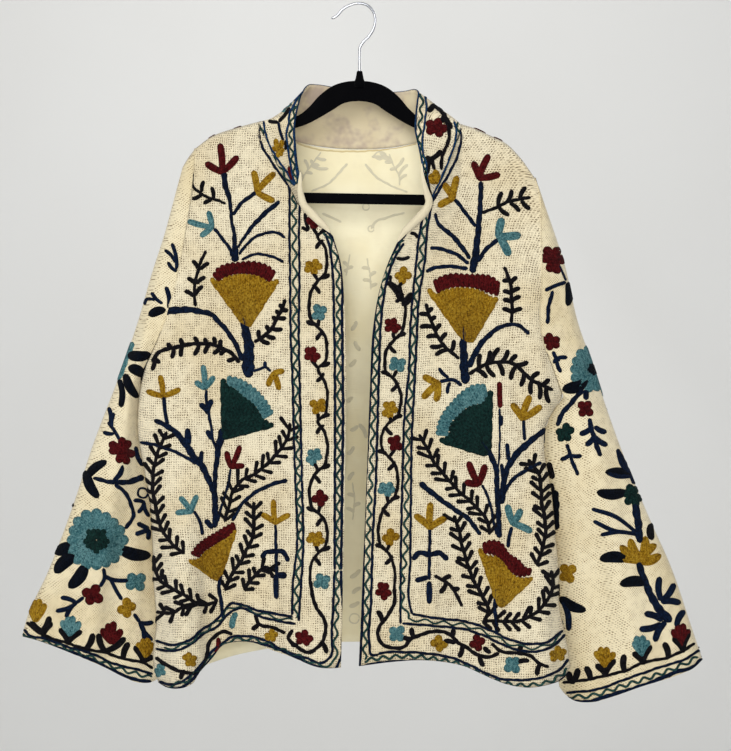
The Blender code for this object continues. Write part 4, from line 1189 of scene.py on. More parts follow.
# Stitch plans. Each line holds a kind of motif, its wool and its sizes in squares, then its places on the squared
# paper: across and drop, again and again. A slash parts one run from the next of the same kind, wool and sizes.
# line: widths along it : its run. wave: width, period, swing : its run. ring: radius, width : its middle.
# leaf: width : the tip and root of each. tulip: petal width : its base, then its petals' tips.
# sprig: stem width, leaf width : its run / its leaves' tips. garland: stem width, leaf width, gap, reach : its run
# from tip to foot. comb: stroke width, strokes : one edge / the other edge. flower: petals, radius : the middles.
# bloom: its heart's wool, petals, radius, heart's radius : its middle
PLAN_FRONT_RIGHT = """
line navy 2.8 : 258 124 259 135 263.5 149 270.5 160 279.2 173 288.5 185.5
tulip maroon 6 : 222 172 220 144 206 163 237.6 156.5
line navy 6.4 5.7 3.5 3.5 5 9 : 223.6 172 226 188 230 201 231 216.5 234 233 235 250 235 262
tulip mustard 5.7 : 257 192 253.5 171 274.6 173 274 201
line navy 4.5 4 3.6 : 256.7 192 242.7 202 232.5 215
line navy 4.5 5 4 2.5 : 279.7 201 259 219 246.5 234 237.6 248
line navy 3.2 : 285.4 238 279.7 233.7 269.5 232.4 258 235.6 246.5 244.5 239 254.7
line navy 3 : 284 262 272 256.7 259 254 249 256 241.4 260
tulip teal 5 : 212 227 188 221 208.3 211.5 200.6 236
line navy 3.5 : 214 228 221 237 228.7 247 232.5 257
line black 2.4 : 226 203.7 218.5 200.5 211 198.6 200.6 193 193 187 192.7 173
leaf black 3.6 : 186.6 181 193 187 203.8 181 202 191 211.5 187 213 199 192.3 199 202 193.5 203.8 203.7 211 200.5
line black 2.8 : 195.7 306.5 194.4 294 195 283.6 197.6 272 200.8 262 206 250.4
leaf black 3.8 : 184.8 291 193 296 202.7 286 195.7 295 187.4 278 194 283 205.3 277 197.6 283 192.5 260.6 198 269
  209 263 201.4 269
comb maroon 5 13 : 212.6 275 216.7 268 224.4 264 238.4 262 252.4 261 264 263.4 271.6 267.6 275.8 272 / 218 281.7
  222 277.5 229 274.5 238 273 248 273 256 274.5 264 278 270.3 282.3
comb mustard 5 15 : 209 277 218 281 224 277.5 231 275 238 273.5 246 273.5 254 274.5 262 276.5 269 281 280 279 /
  240 321 246 325 251 325.5
line navy 8 8.5 9.5 11 13 10 : 243 315 246 332 248.6 345 248.6 357.6 248 370 250 377.5
line navy 5 5 5 6.5 8.4 : 243 361 240 354 236 345 227 331 219 322 213 315.5 201.4 311.6 186 309.7 172 310.5 162 312
sprig black 3.4 4 : 239.7 362.7 232 353.7 223 348.6 213 344.8 201.4 343.5 187.4 344.8 172 348 159 352 152 362 /
  221 339.7 213.5 337 205 338 194 337 180.4 338.4 167 343.5 227 360.7 220 355 213 353.5 204.6 353.5 194 355 181 356.5
  171.5 358 160 362.7 152 370
sprig black 3.2 4 : 253.7 342 262.7 337 271.6 328 276.7 319 281.8 309 285.6 299 / 258.8 330 269.7 343.5 266.5 325
  275.4 338 273 316 282.4 329 276 310 286 318 279.5 304 288 309.7
line navy 3 : 252.4 371 260 369 265 367 271 371.6
line navy 4 : 265 368 265 361
tulip mustard 5 : 274 373 284 371 267.8 386 279 389.6 / 163 396 160 375.5 147 391 180 389
line navy 4 : 163.8 396 165 411 167.6 425
tulip teal 5 : 204.6 388 203 365.5 195.5 381.5 214 376.5
line navy 3.2 : 206 389.4 206.5 401 209 415 211.6 428
leaf navy 6 : 200 404 207.8 413 212 400 207.8 413
comb teal 4.6 11 : 227 375.5 238 377.5 248.5 383 259.5 392 267.5 401.5 274 413 / 227 384 236 388.5 244 395.5 253 402
  259 409.5 264 419
comb green 5.4 13 : 221.5 376.5 227 383 236 388.5 244 395.5 253 402 259 409.5 264.5 419 276 425.5 / 222 436 224 438
  227 438 231 437.5
line navy 4.5 6 7 7 6 5.5 5 : 154 420 167 426 181 438 188.7 449 196 459.5 202.7 467 209 481 213.5 491 214.8 509
  214.8 528
line navy 5 7.5 6 : 187.4 428 188 437 188 446
line navy 4 5 4 : 202 450.6 201 458 200.8 467
line navy 3.5 : 140 442 155.5 445 172 450.6 187.4 458 196 464
line navy 9 6.5 5 5 5.5 5.5 : 223.8 428 219 445.5 216.7 461 214.8 481 215.5 505 215.5 527
line navy 5 5.5 4 : 206.5 430 209 434 212 440
line navy 3 : 210.4 422.6 214 443 217.4 452
tulip maroon 5 : 231 467 226.5 451.5 240 446 244 466
line navy 2.8 : 230.8 468.5 227 489 221.8 505.5 217.4 522
garland black 3 3.8 9.5 7.5 : 290 422.6 288 436.6 280.5 449 269 462 255 473.6 241 481 233 491 229.5 504 225.7 517
  224.6 522
line navy 4.3 4 3.5 : 287.5 480 273 484 255 492.7 242 504 236 514 232 521
garland black 3 4 9.5 7.5 : 167 431.5 159 449 153.5 471 153 491 156 507 158.7 521 164.4 533.5 173.4 545 184.8 554
tulip teal 5 : 191 512 180 497 197 495.5 176 513
line navy 3 4 : 193.8 510.6 200 522 202.7 535
line navy 5.5 : 205 519.5 213 528.4
comb maroon 4.8 12 : 190 554 196.5 545 206.5 537 214.5 532.5 223.5 527 234 521.5 / 198 557 205 549.5 213 545 221 540
  229 535.5 235.5 528
comb mustard 4.8 15 : 187 560 198 558.5 205 550.5 213 545.5 221 540 230 535.5 236.5 527.5 / 213 578.5 217 579.5
  220 576.5 222.5 573
line navy 4 : 221 574 219 586 220.6 598.6 223.8 620
garland black 3.2 4 9 7 : 253.7 501.6 253.7 519.5 253 535 247 549 239.7 563 231 575.6 225 591
tulip mustard 5 : 275.4 523 273.5 500 261.5 514 289.5 514.5
line navy 3 3.4 4 : 275.4 524.6 276 547.6 276.6 578
line navy 5.5 6 5 : 276 574 276 588 276.4 599
line navy 5 : 262 559 265 552.7 274 551.4 283 552 288.8 561.6
line navy 6 8 : 276 575 287 575.4
garland black 3.2 4 8 6.5 : 276.7 570.5 264 568 253.7 577 243.5 589.6
garland black 3 4 9 7 : 153.6 555 155.5 570.5 162 582 177 591 190 598.6 201.4 605 218 601 / 156 612 172 612.6
  184.8 606 196 602.4
line navy 2.6 : 288 184.6 289.5 191 289.6 200 289.5 233 290 271 290.8 340 292.5 380 293.5 420 295 471 296.5 509
  297 548 293.3 579 292 615.5 / 293 186 297.5 191 298.5 196 299 233 299.4 271 298.8 340 299.6 380 300.6 420 302 484
  303.2 548 301 586 298.7 621
wave sage 2.4 17 2.1 : 294 193 294.2 233 294.8 271 294.8 340 296 380 297 420 298.6 484 300 548 297.3 582 295.5 618
line navy 2.8 : 293 617 269.4 612.5 254.7 609.6 241.5 604.5 231 603.7 224 611 216.5 620 203 628.7 188.7 640.4
  171 644.8 155.5 640.4 / 296 624 276.7 620.6 259 616 241.5 608 229.7 612.5 218 625.7 203 634 188.7 645.5 171 651
  155.5 648.5
wave sage 2 20 1.6 : 293 620.6 272 616.4 257 612.6 241.5 606.3 230.3 608 221 618 209.7 627 196 638 180 646.5 164 648
line navy 3 : 341 570 338.3 664 335.4 669.8 320.7 667.6 291.4 655 269.4 646 247.4 642 232.7 643 224 645.5 214 655
  206 665.5 200 671 193 678.6 180 688 168 688 159.5 685.5
line navy 2.8 : 334.6 570 331.7 628.7 328 659.5 323.6 662.4 306 658 284 650.7 262 639 244.4 636 232.7 636.7 222.4 643
  211 652.5 203 662.5 193 673 181 682 168 684.4 159.5 681
wave sage 2.4 18 1.8 : 337.6 570 335.2 640 332.4 664 322 665.4 299 656.5 276.8 648 254.7 639.6 240 639 228 641.5
  217 649.5 206 662 197 671.6 185 681 168 686.2
line navy 3 : 323 226.7 333.3 239 338.4 252 341 265 342 320 343 420 342 500 341 570
line navy 2.8 : 325 233 329.4 246 332 265 334 320 335 420 334.8 500 334.6 570
wave sage 2.4 16 1.9 : 324.5 231 331 243 335 255 337.2 270 338.3 320 339 420 338.3 500 337.8 570
line black 3 : 305 212.7 306 222 309 230.5 / 301.4 226.7 305 229 309 230.5
flower mustard 5 8 14 : 270.8 636
leaf teal 6 : 232 628 236 614
leaf maroon 5 : 216 653 218 639
flower mustard 5 8.5 : 190 659.5
flower teal 5 7.5 : 160 670
line black 3.2 : 310 580 312 592 316 607 323 617 325.8 628.7 319 646 310.4 652 295.8 646 288.4 637.5 292.8 629.4
line black 3 : 285.5 633 270.8 627 259 624 254.7 614
line black 3.2 : 232.7 634.5 224 631.6 210.7 640.4 204.8 661 196 672.7 180 671 165 664 155.5 657
flower maroon 5 9.8 : 303.8 638.2
leaf black 4.2 : 181 679 184 671 326.6 653 322 643 291.4 645 297 646 251.8 629 258 624
"""
FLOWERS_FRONT_RIGHT = (
    (312.9, 221.6, "maroon"), (313, 266.5, "mustard"), (318.8, 313, "teal"), (311.8, 354.4, "maroon"),
    (318, 406.7, "mustard"), (313.7, 456.4, "teal"), (320, 499, "maroon"), (315.6, 538.6, "mustard"),
    (322, 582, "teal"),
)
# Columns: drop, the band's middle across, both in squares
BAND_RIGHT = ((200, 315), (240, 318), (280, 318), (570, 318.5), (620, 318), (650, 313))

PLAN_FRONT_LEFT = """
line navy 2.8 : 459.5 124 461.5 135 459.5 149 454.5 163 447 177 438 192 432.5 201
line navy 2.6 : 431.4 206 427.6 226.7 425 258.6 418.8 300 416.6 342 414.5 384 411.7 440.5 411 490 410.3 560 410.4 608
  412.5 614.5 / 424 206 422.5 218 418.7 239 416 265 413.8 286 410.3 328 409 370 404.7 412 402.6 476 401.2 532
  400.5 602 400.4 624
wave sage 2.4 17 2.1 : 427 208 423.5 232 420.8 262 416.5 292 413.6 335 411.8 377 408.2 426 406.8 483 405.8 546
  405.6 612 409 619
line navy 3 : 406 233 396.3 247 388 262 380 283 375.3 308.6 374 328 371.7 363 369 419 366.8 462 364 532 362.3 618
  359.6 668
line navy 2.8 : 404 243 395 257 389.3 272 383.7 297 381 321 379.5 356 377.4 426 376 476 373 532 371 602 369.5 645
  371.5 655 379 654.5
wave sage 2.4 16 1.9 : 404 240 392.5 257 384.5 277 379.5 303 377.5 325 375.6 360 373.2 422 371.4 469 368.5 532
  366.7 610 364.8 650 364.5 660
tulip mustard 6 : 453 198.6 443.5 183.5 457 176.5 438.5 206
line navy 4 : 453.5 199 458 203 467 215 476 226.7
tulip maroon 6 : 479 178 473 162 488.8 155 499.5 174.4
line navy 5 5 6 7 8 : 481 181 480.5 201 478.6 226.7 474.8 258.6 472 273
line black 2.8 : 481.8 213 495 208 506.7 202.4 519.4 199 531 197.5
leaf black 4 : 502 192 498.4 206 511.8 190 506.7 202 525.8 187 520 198.6 509 215 499 207 519.4 211.4 510.5 203.7
  530 209 522 200.5
tulip teal 7 : 498.5 236 502 218.5 520 235 509 255
line navy 4.5 : 477 262 486 249.6 498 239
line navy 3 4.5 5 4 : 435.3 212.7 437.8 223 449.3 233 462 247 470 259
line navy 4 : 430 247.5 441 249 453.8 253 469 263.7 / 425.8 272 434 268 451 266.5 468 268.6
comb maroon 5.2 13 : 432.8 280.5 441 276 453.8 273 462 273.5 473.5 274 482 274 491.7 276 499.4 282.6 / 437 293
  442.6 289 453 286.5 463.7 286 474 287 484 290 490.3 292.5 498.7 294.5
comb mustard 5.2 15 : 426.5 287 436 294 443 290 453 287.5 463.7 287 474 288 484 291.7 490 296 499.5 297.5 / 458 334
  465 340 474 341
line navy 6 7 8 9 9 : 463.7 324.7 463.4 342 463.7 356 464.4 370 465.8 384
line navy 6 6 5 4 4 : 469 367.5 475 353.5 484.7 339.4 496 329.6 507 324.7 518.4 325.4 529.6 334
sprig black 3 4 : 511.4 323 512 311 511.4 293 510 282 504 266.5 / 522 308.6 502.5 308.6 520.5 296.5 503 299.5 520 288
  503 291 517 277 502.5 281 / 459.4 359 451 352 441 342 434 328 428.6 314 425.8 303 / 435.6 355 430 346.5 453.8 340
  446.8 333 426.5 337 441 324 420 327 436 316.5 419.5 314 433 308
line navy 4 : 462 385.7 453.8 380 439.8 381.5
leaf navy 4 : 439 368 448 377 447.5 393.5 450 383
tulip mustard 6 : 438.4 383 423.5 376 423 398 436 401
sprig black 3.2 4.2 : 469 374.5 479 367.5 490 363 504 362 515.6 364.7 522.6 371.7 532.4 380 543 385.5 553 390 /
  480.5 354 490 350.7 499 348 508 350 517 355 528 362 539.4 372.4 549 379 486.8 377.5 495 376.5 503 375.5 510.7 379.5
  520.5 386 531 394 539.4 399 549 402.6
comb teal 4.6 14 : 435.5 435 437 425 443 412 451.5 401.5 462 391 473 384.5 485 384 / 447 436 449.5 423 458.5 413.5
  465 407.5 475 403.5 482 402 487 394.5
comb green 5.4 14 : 437 440.5 447.5 435.5 450 423.5 459 414 465.5 408 475 404 482.5 402.5 487.5 395 491.5 388 /
  479 454 483 455 487 453.5 490 449.5 491 446
line maroon 5 : 499.4 381.5 500 408
line navy 5 : 500.8 415 500.8 426
line navy 2.2 : 499.6 408 499.8 430 499.5 450 497 480 496 500
tulip mustard 6 : 522 418.7 512 404 530 396 541 406
line navy 3.4 : 523.5 419 524 430 524.7 440.5
line navy 6 5.5 5.5 5.5 : 480.5 439.6 490 453.7 496 469 497 490 498.7 518 499.4 538
line navy 4 : 501.5 463.5 502.5 473 503.6 483
line navy 5 7 6 5 : 546.4 428.4 532.4 439.6 518.4 452 508.6 466 503.6 483 500.8 504
line navy 4.5 : 507 443 508.6 460.7
line navy 4 : 541.5 462 529.6 468.4 517 476 507 487 502 504
tulip maroon 6 : 478.5 484 468.5 462 485 465 465 482
line navy 3 : 482 484.5 489 500 493 518 496.6 535
garland black 3 4 9.5 7.5 : 418.8 434 427 448 434 462 445.4 476 456.6 489 469 500 479 510 487.5 521 489.6 535
line navy 6 5 4.5 : 419.5 482.4 434 494.4 451 507 469 519.6 480.5 535
tulip teal 6 : 513 523.5 507.5 505 521 509.5 531.5 531.5
line navy 4 : 512 526.6 509 538 508 547.7
comb maroon 5 13 : 482.5 543 490 540 500 541.5 507.5 552 519 559.5 525 566.5 532.5 568.5 / 483.5 552 496 554.5 504 561
  510 569.5 519 575.5 530.5 573.5
comb mustard 5 15 : 478.5 546.5 484 554 496 556 504 562 510 570.5 519 577 534.5 577.5 / 496 601 499 605 503 606
  506 604.5
line navy 4 : 496 587 495 608 497 633
garland black 3.2 4.2 9 7.5 : 453.8 515 459.4 532 462 546 466.5 560 472 577 480.5 592.6 487.5 606.6 490 616 / 528 459
  539.4 476 541 490 542 504 544 515 545.5 532 543 546 536.6 566
garland black 3 4.2 9 7.5 : 551 570 553 585.6 546.4 601 536.6 612 518 621 499 621 482 621
tulip mustard 6 : 430 528 430.7 503 415 515 446 517.5
line navy 3.4 : 430 528.7 429.4 553 429.3 580
line navy 5 6.5 5 : 429.3 581 429.3 592 429.3 604
line navy 5.5 : 412.4 560 420 552.6 430 554.7 439.8 553 448 560 / 415 580.7 428.6 577
line black 3 : 434 575.7 445.4 581.4 453.8 590 462 606.6
leaf black 4.2 : 439.8 592.6 446 583 459.4 588.4 452 588 451 576 443 580
line navy 2.8 : 412 614 435.7 618 467.6 622 491.5 630.6 507.4 638.6 531 644 547 642 563 630 / 402 623.4 435.7 626
  467.6 630 483.5 635.4 507.4 646.5 523.4 651 544 650 560 640 565 634
wave sage 2 20 1.6 : 408 619 435.7 622 467.6 626 487.5 633 507.4 642.6 527 647.5 545.5 646 561.5 635
line navy 2.8 : 378 654 381.5 653 404 652 429 653.7 451.6 657.7 467.6 664 483.5 672 499.4 678.4 520 680 541 677.6
  560 669 568.5 659
line navy 3 : 360 667 378 663 392.6 661.7 416 661 440 664.5 459 669.5 474 677 491 684.5 512 689 533 689 553 685.5
  568 674.5
wave sage 2.6 12 1.7 : 364 660.5 385 657.5 416.5 656.5 435.7 659 461 664.5 475.5 671.5 491.5 679.5 512 684.5 531 685
  552 680.5 568 669
line black 3 : 410 233 415 234 418 238 / 396 258 403 259 410 256.7
leaf black 6 : 388 282 402 300 399 285 402 300 411 293 403 304
flower teal 4 10 : 396.6 633
leaf black 4.2 : 403 637 411 638.5 444 641 454 643 484 647 490 652 518 662 528 661
flower mustard 4 9.5 : 438.9 644
flower maroon 4 9.5 : 477.9 643
flower teal 4 10.5 : 513 664.5
flower mustard 5 9.5 : 557.5 654
line black 3.2 : 394.5 588 394 604 388 615 380 626 377.5 634 381.5 643 392.6 648 404 646.5 411.7 638.6 423 634
  442 631.4 453 637 458 642.5 467.6 648 477 654.5 488 657 499.4 653
line black 3 : 491.5 643 499.4 650.5 515.4 653 531 656 537.7 662.5 549 667
leaf black 4.4 : 377.5 611 382 621 411.7 628 414 637 453 629 452 636 459 657 462 646 483.5 666 480 656 521.8 645
  520 653 537 675 540 665
"""
FLOWERS_FRONT_LEFT = (
    (402.6, 275, "mustard"), (392.8, 326, "maroon"), (397, 364, "teal"), (390, 409.6, "mustard"),
    (394.9, 443, "maroon"), (387, 489, "teal"), (390, 537, "mustard"), (383.8, 590.7, "maroon"),
)
BAND_LEFT = ((200, 412), (260, 401), (300, 396), (370, 393), (450, 389.5), (540, 387), (640, 385))

PLAN_COLLAR_RIGHT = """
line blue 2.1 : 263.8 121 265 131 269.5 145 278.4 160 288.6 175 294.5 186
wave sage 2.2 13 1.5 : 261 124 262 133 266.8 147 274.7 160 284.2 174 291 185
line blue 2.2 : 312 86 305 90 298.5 97 294 105 290 113 288.6 123 286.7 131 287.3 144 289.3 156.5 291.8 172 295.2 185
line blue 2.1 : 319 85.5 311.5 88 304 100 298.6 111 295.3 122 294 133.6 294.6 146 295.2 156.5 297 172 298.3 184
wave sage 2.2 14 1.5 : 314 87 308 90 301 99 295.5 109 291.6 122 290.6 132 291 145 292.4 156.5 294.6 172 297 184
line black 3 : 268 121 273 122 278.4 122 / 278.4 122 285 115 290 107.4
line navy 3 : 278.4 122 280 131 283.5 141
leaf mustard 5 : 276 139 278.4 148 282 140 279.5 148 273 147 278 149.5 284 149 279.5 150 276.5 157 279 150 282 155.5
  280 150
line black 2.8 : 285.4 140 286 145 285.5 150
line maroon 3.5 : 289 166 290 173 292 181
leaf teal 4.5 : 290 99 283.5 111
"""

PLAN_COLLAR_LEFT = """
line blue 2.2 : 418 92 416.5 105 416 118 415.5 133.6 418.7 149 422.5 163 423 176 423.8 188
line blue 2.1 : 425 95 426.3 105.5 425 121 423 135 422.5 150 426 163 427.5 176 427.5 188
wave sage 2.4 14 1.7 : 421.5 93 421.6 106 420.5 120 419.2 134.5 420.5 149.5 424.3 163 425.2 176 425.8 188
line blue 2.1 : 453.8 121 456.3 131 454.4 144 449.3 159 443 174 435.3 191 431 200
wave sage 2.2 14 1.6 : 457 122 459 133 456.7 146.5 451.8 161 444.6 175.5 436.4 191.5
line black 3 : 433 105.5 440.5 110.5 447 121 449.3 133.6 446.7 146 442 156.5 441.4 170
leaf black 5 : 441.6 122 444 114 451.8 128 447 119 428 111 433 105
flower maroon 5 12 : 436.5 127.8
line black 4.2 : 425.5 156.5 430 159 436 156 441.5 150
line black 4.4 3.4 3 : 430 158 427.6 169 426.5 177 428 186 431 197
line black 3 : 432 158 433 164 434.5 170
leaf mustard 7 : 435 170 434.6 181 431.5 174 434 182 438 174 435 182
"""

PLAN_SLEEVE_RIGHT = """
leaf ink 8 : 165 310 151 314.8
line navy 3.4 : 122.8 466 121.5 473 113 482
line navy 4 : 172 243 176 256 177 271
leaf navy 4 : 165 250 175 262 168 262 176 271
leaf navy 5 : 166 287 168.5 306.5
leaf navy 4 : 151.7 292.5 162 303
line navy 3 : 144.5 305 147 299 155.5 300
line teal 5 6 5 : 133 342 125 361 118 380
leaf ink 9.5 : 150 354.3 129.5 354.3 144.2 375.7 130.8 368.5
leaf ink 8 : 137.5 397 126.2 375.7
leaf ink 6 : 120.8 406.5 119.5 381
line navy 3.6 : 119.7 440 114.6 431 108 422
leaf navy 4.4 : 114 413 112 426 109 407.5 110 424 103.5 432 113 433.5
flower maroon 7 15 : 122 450.5
line navy 3 : 123 465 118.4 474 113 480.7
leaf navy 5 : 142.7 465.4 136 447.6
leaf ink 8 : 106 461.6 88 476
leaf ink 9 : 98 497 86.5 473
line navy 4 4.5 5.5 7 : 93 478 112 482 127 482 144 477
line navy 4 : 114.6 484.5 124.8 492 131 505 133.7 512.8 125.4 529
ring navy 5 2.2 : 142.7 493
leaf navy 4.4 : 133.7 500.5 144 502.4 138 512.6 144 502.4 149 516.4 144 502.4
line navy 5 : 137 523 143 526 149 529 / 135 534.5 142 532 149 529.5 / 149 529 148.5 535 148 540
line black 2.6 : 72 503 73 507
leaf ink 10.5 : 54.4 551.5 68 545
leaf ink 11.5 : 56.2 572 73 557.5
leaf ink 11 : 69.5 586.6 84 567 149.5 555 121.6 549
bloom teal green 16 31 12 : 96.5 540
line navy 4 : 103.5 568 104.4 578 99.8 587
line navy 4.4 : 104.4 576 112 579.5 118 580.5 128.5 580.4
line navy 4 : 110 578 116 590 122 600
flower teal 4 12 : 136 581
flower maroon 4 12.5 : 92 594.4
line navy 4 : 84 597 80 600 76 603
leaf navy 5 : 61 597.6 76 603 56 611 76 603 66 617 76 603
flower mustard 4 11 : 126.7 608.4
line navy 4 : 133.7 613.5 140 622.4
leaf navy 5 : 153 622 140 622.4 144 639 140 622.4 152 640 140 622.4
tulip mustard 6 : 35.5 620 31 606 35 600.5 40 599.5 45 604
tulip teal 6.2 : 71 635 62 621 67.5 617 73 616.5 79.5 622
tulip maroon 6.4 : 111.5 642 102 629 107.5 624 114 622 121.5 630
tulip mustard 6.2 : 145 656.5 138 643 143 638.5 148.5 637.5 152 643
leaf black 5.5 : 31 622 42 631 49.5 617 42 631 52 623 43 635 59.7 629 68 643 81.4 631.4 68 643 93 634 85.5 649
  98.6 634 105 651 124.8 638 105 651 128.6 643 123.5 658 134.4 646.7 143 662 153 657 143 662
line black 2.6 : 26.6 622 35.5 630 47 636.5 67.4 643 86.5 649 104.4 652.4 124.8 659 144 663 153 668.4
line navy 2.8 : 24 629 29 635 44.4 638.4 67.4 646.7 93 654 112 663 137.6 669.6 153 674
line navy 3.6 : 22.5 637 33 641 67.4 651 93 660 112 670 137.6 680 151.6 681.5
wave sage 2.5 15 1.7 : 23.5 633 31 638 56 644.5 80 653 102.5 662 125 670.5 152 677.5
"""

PLAN_SLEEVE_LEFT = """
flower maroon 6 15 : 553 259.6
line navy 2 : 559 265 566 281
line navy 4 : 544.8 290.6 554.4 286 566 282
leaf ink 7.5 : 567.5 305 568 284
line navy 4 : 552.8 290.6 548.8 306.5 547.5 324
flower maroon 5 10.5 : 551.6 341.7
line navy 4 : 552.8 351 556 357.6 560 361
leaf navy 4.4 : 567 357.6 556 359 561 372 557 360 553.5 363 556 357
bloom teal ink 14 24 6 : 593 369
leaf ink 11 : 563.5 389 585 381
line navy 5 : 583 389.4 572 402 561.5 415 557 426
line navy 6 : 586 389 586 400
flower maroon 4 10 : 586 408.6
line navy 5 : 589 418 593 434 600.6 456.4
leaf navy 6 : 580 434 591 427.7 606 432 595.8 427 586 445 593.4 437 607 445 595.8 437
flower green 5 10.8 : 564.8 433
line navy 4 : 567 443.7 569.5 453 578 475.5
leaf navy 4.6 : 560.7 459.6 570 454 581.5 455.6 571 455
line black 5 : 548.5 462 552.8 479
leaf navy 5 : 629 474 618 450
leaf navy 6 : 607 472 630 475.5
line navy 4.6 : 617.5 450 626 467 635 484
flower green 6 12.5 : 632 495.5
leaf ink 9.5 : 598 492 623.6 492
leaf ink 7 : 606 472.4 628 474
line navy 8 7.6 7.4 : 635 502 638 522 640 543
leaf navy 4.6 : 592 509 634.5 531 593.8 521 635 533 601 535 636 534.5
leaf mustard 8.6 : 621 546 640 560 622 559.5 640 561 630.5 539.5 640 560 645 537 641 560 655.5 545 641 560 660 555
  642 561
leaf black 6 : 651 524 652 538
leaf ink 10 : 601 559 624.5 559
line navy 6.6 7 8 9 : 638 561 641.6 572 646.8 586 657 606 671 622
leaf ink 9.6 : 621 584.3 644.7 582.6
leaf navy 7 : 659.7 577.4 661 599 674 584 662 600 680 603 663 602 645 613.6 661 620 640 629 660 624 655 641 665 623
  684 611 677 625
line ink 7 : 555 490 555.5 510 555.5 530
line black 4 : 551 483 553 492
flower mustard 4 11 : 567 573
leaf ink 9 : 585 610 562 598.5
leaf navy 6.5 : 568.6 630 563 602
tulip maroon 6.2 : 681 646 672.5 630 678 624.5 683 624 689 630
tulip teal 6.2 : 642 655 633.5 642 636.5 636.5 642.5 636 648.5 641
tulip mustard 6 : 605.4 666 595 652 600.5 647.5 606.5 647.5 614.5 653
leaf black 5.5 : 673 638 683 651 689 633 683 651 633 653 643 663 651 646 643 663 664 643 668 657 624.4 655 624.8 671
  596 665 605.4 675 615 660 605.4 675 585.6 667 590 679 569 672 572 682 578 668.7 572 682
line black 2.6 : 562.4 682.5 584.8 680 605.4 675.6 626 670.4 643 662.7 667.4 657.5 683 650.6 695 643
line navy 2.8 : 565.8 692.8 596.8 689.4 626 679 660.5 667 686.4 658.4 700 649.5
line navy 4.2 : 571 701.4 586.5 702 609 695.5 643 685.5 677.8 671.5 695 666 702 658.4
wave sage 2.6 14 1.8 : 568 697 592 695.5 617.5 687.5 652 676.5 682 665 698 657
"""

# What shows on the back's lining: the stitches of its far side, pressed through, and the seam below the collar
PLAN_LINING = """
line seam_line 1.5 : 296 143.4 303 146 312 148.4 322 150.2 342 151.6 362 151.6 382 150 400 147.2 417 144.2
line pressed_marks 2.4 2 1.6 : 347.5 164 340 172 331 182 320 188 311 191.5 / 365 164 374 175 385 183 396 188 408 192.5
sprig pressed_marks 1.4 3 : 301 182 306 172 313 163 321 152 / 311 160 304 160 319 166 326 160 312 174 328 169 299 171
  / 400 186 399 176 394 166 389 154 / 380 153 372 157 385 162 404 158 408 165 390 170 407 175
line pressed_marks 1.4 : 373 157 378 152 386 155 380 160 373 157
line pressed_marks 2.4 2 : 322 213.5 332 218 341.5 222.5 / 371 229 376 222 388 217.5 405 213
ring pressed_marks 3 1.4 : 371 229
ring pressed_marks 3.4 1.4 : 366 207
sprig pressed_marks 1.4 3.4 : 346 276 348 265 350 254 / 343 262 353 267 344 270 / 371 290 370 275 367 258 / 362 268
  376 272 363 280 377 284
leaf pressed_marks 4 : 347 402 352 398 350 430 357 426 359 424 366 437 347 454 353 447 348 480 353 473
sprig pressed_marks 1.4 3.6 : 352 520 354 500 352 482 / 346 508 360 503 347 494
leaf pressed_marks 4 : 350 577 359 570 352 593 360 588 349 606 358 602
ring pressed_marks 5 1.5 : 354 618
leaf pressed_marks 4 : 351 330 356 322 360 350 355 342 349 366 355 360
"""

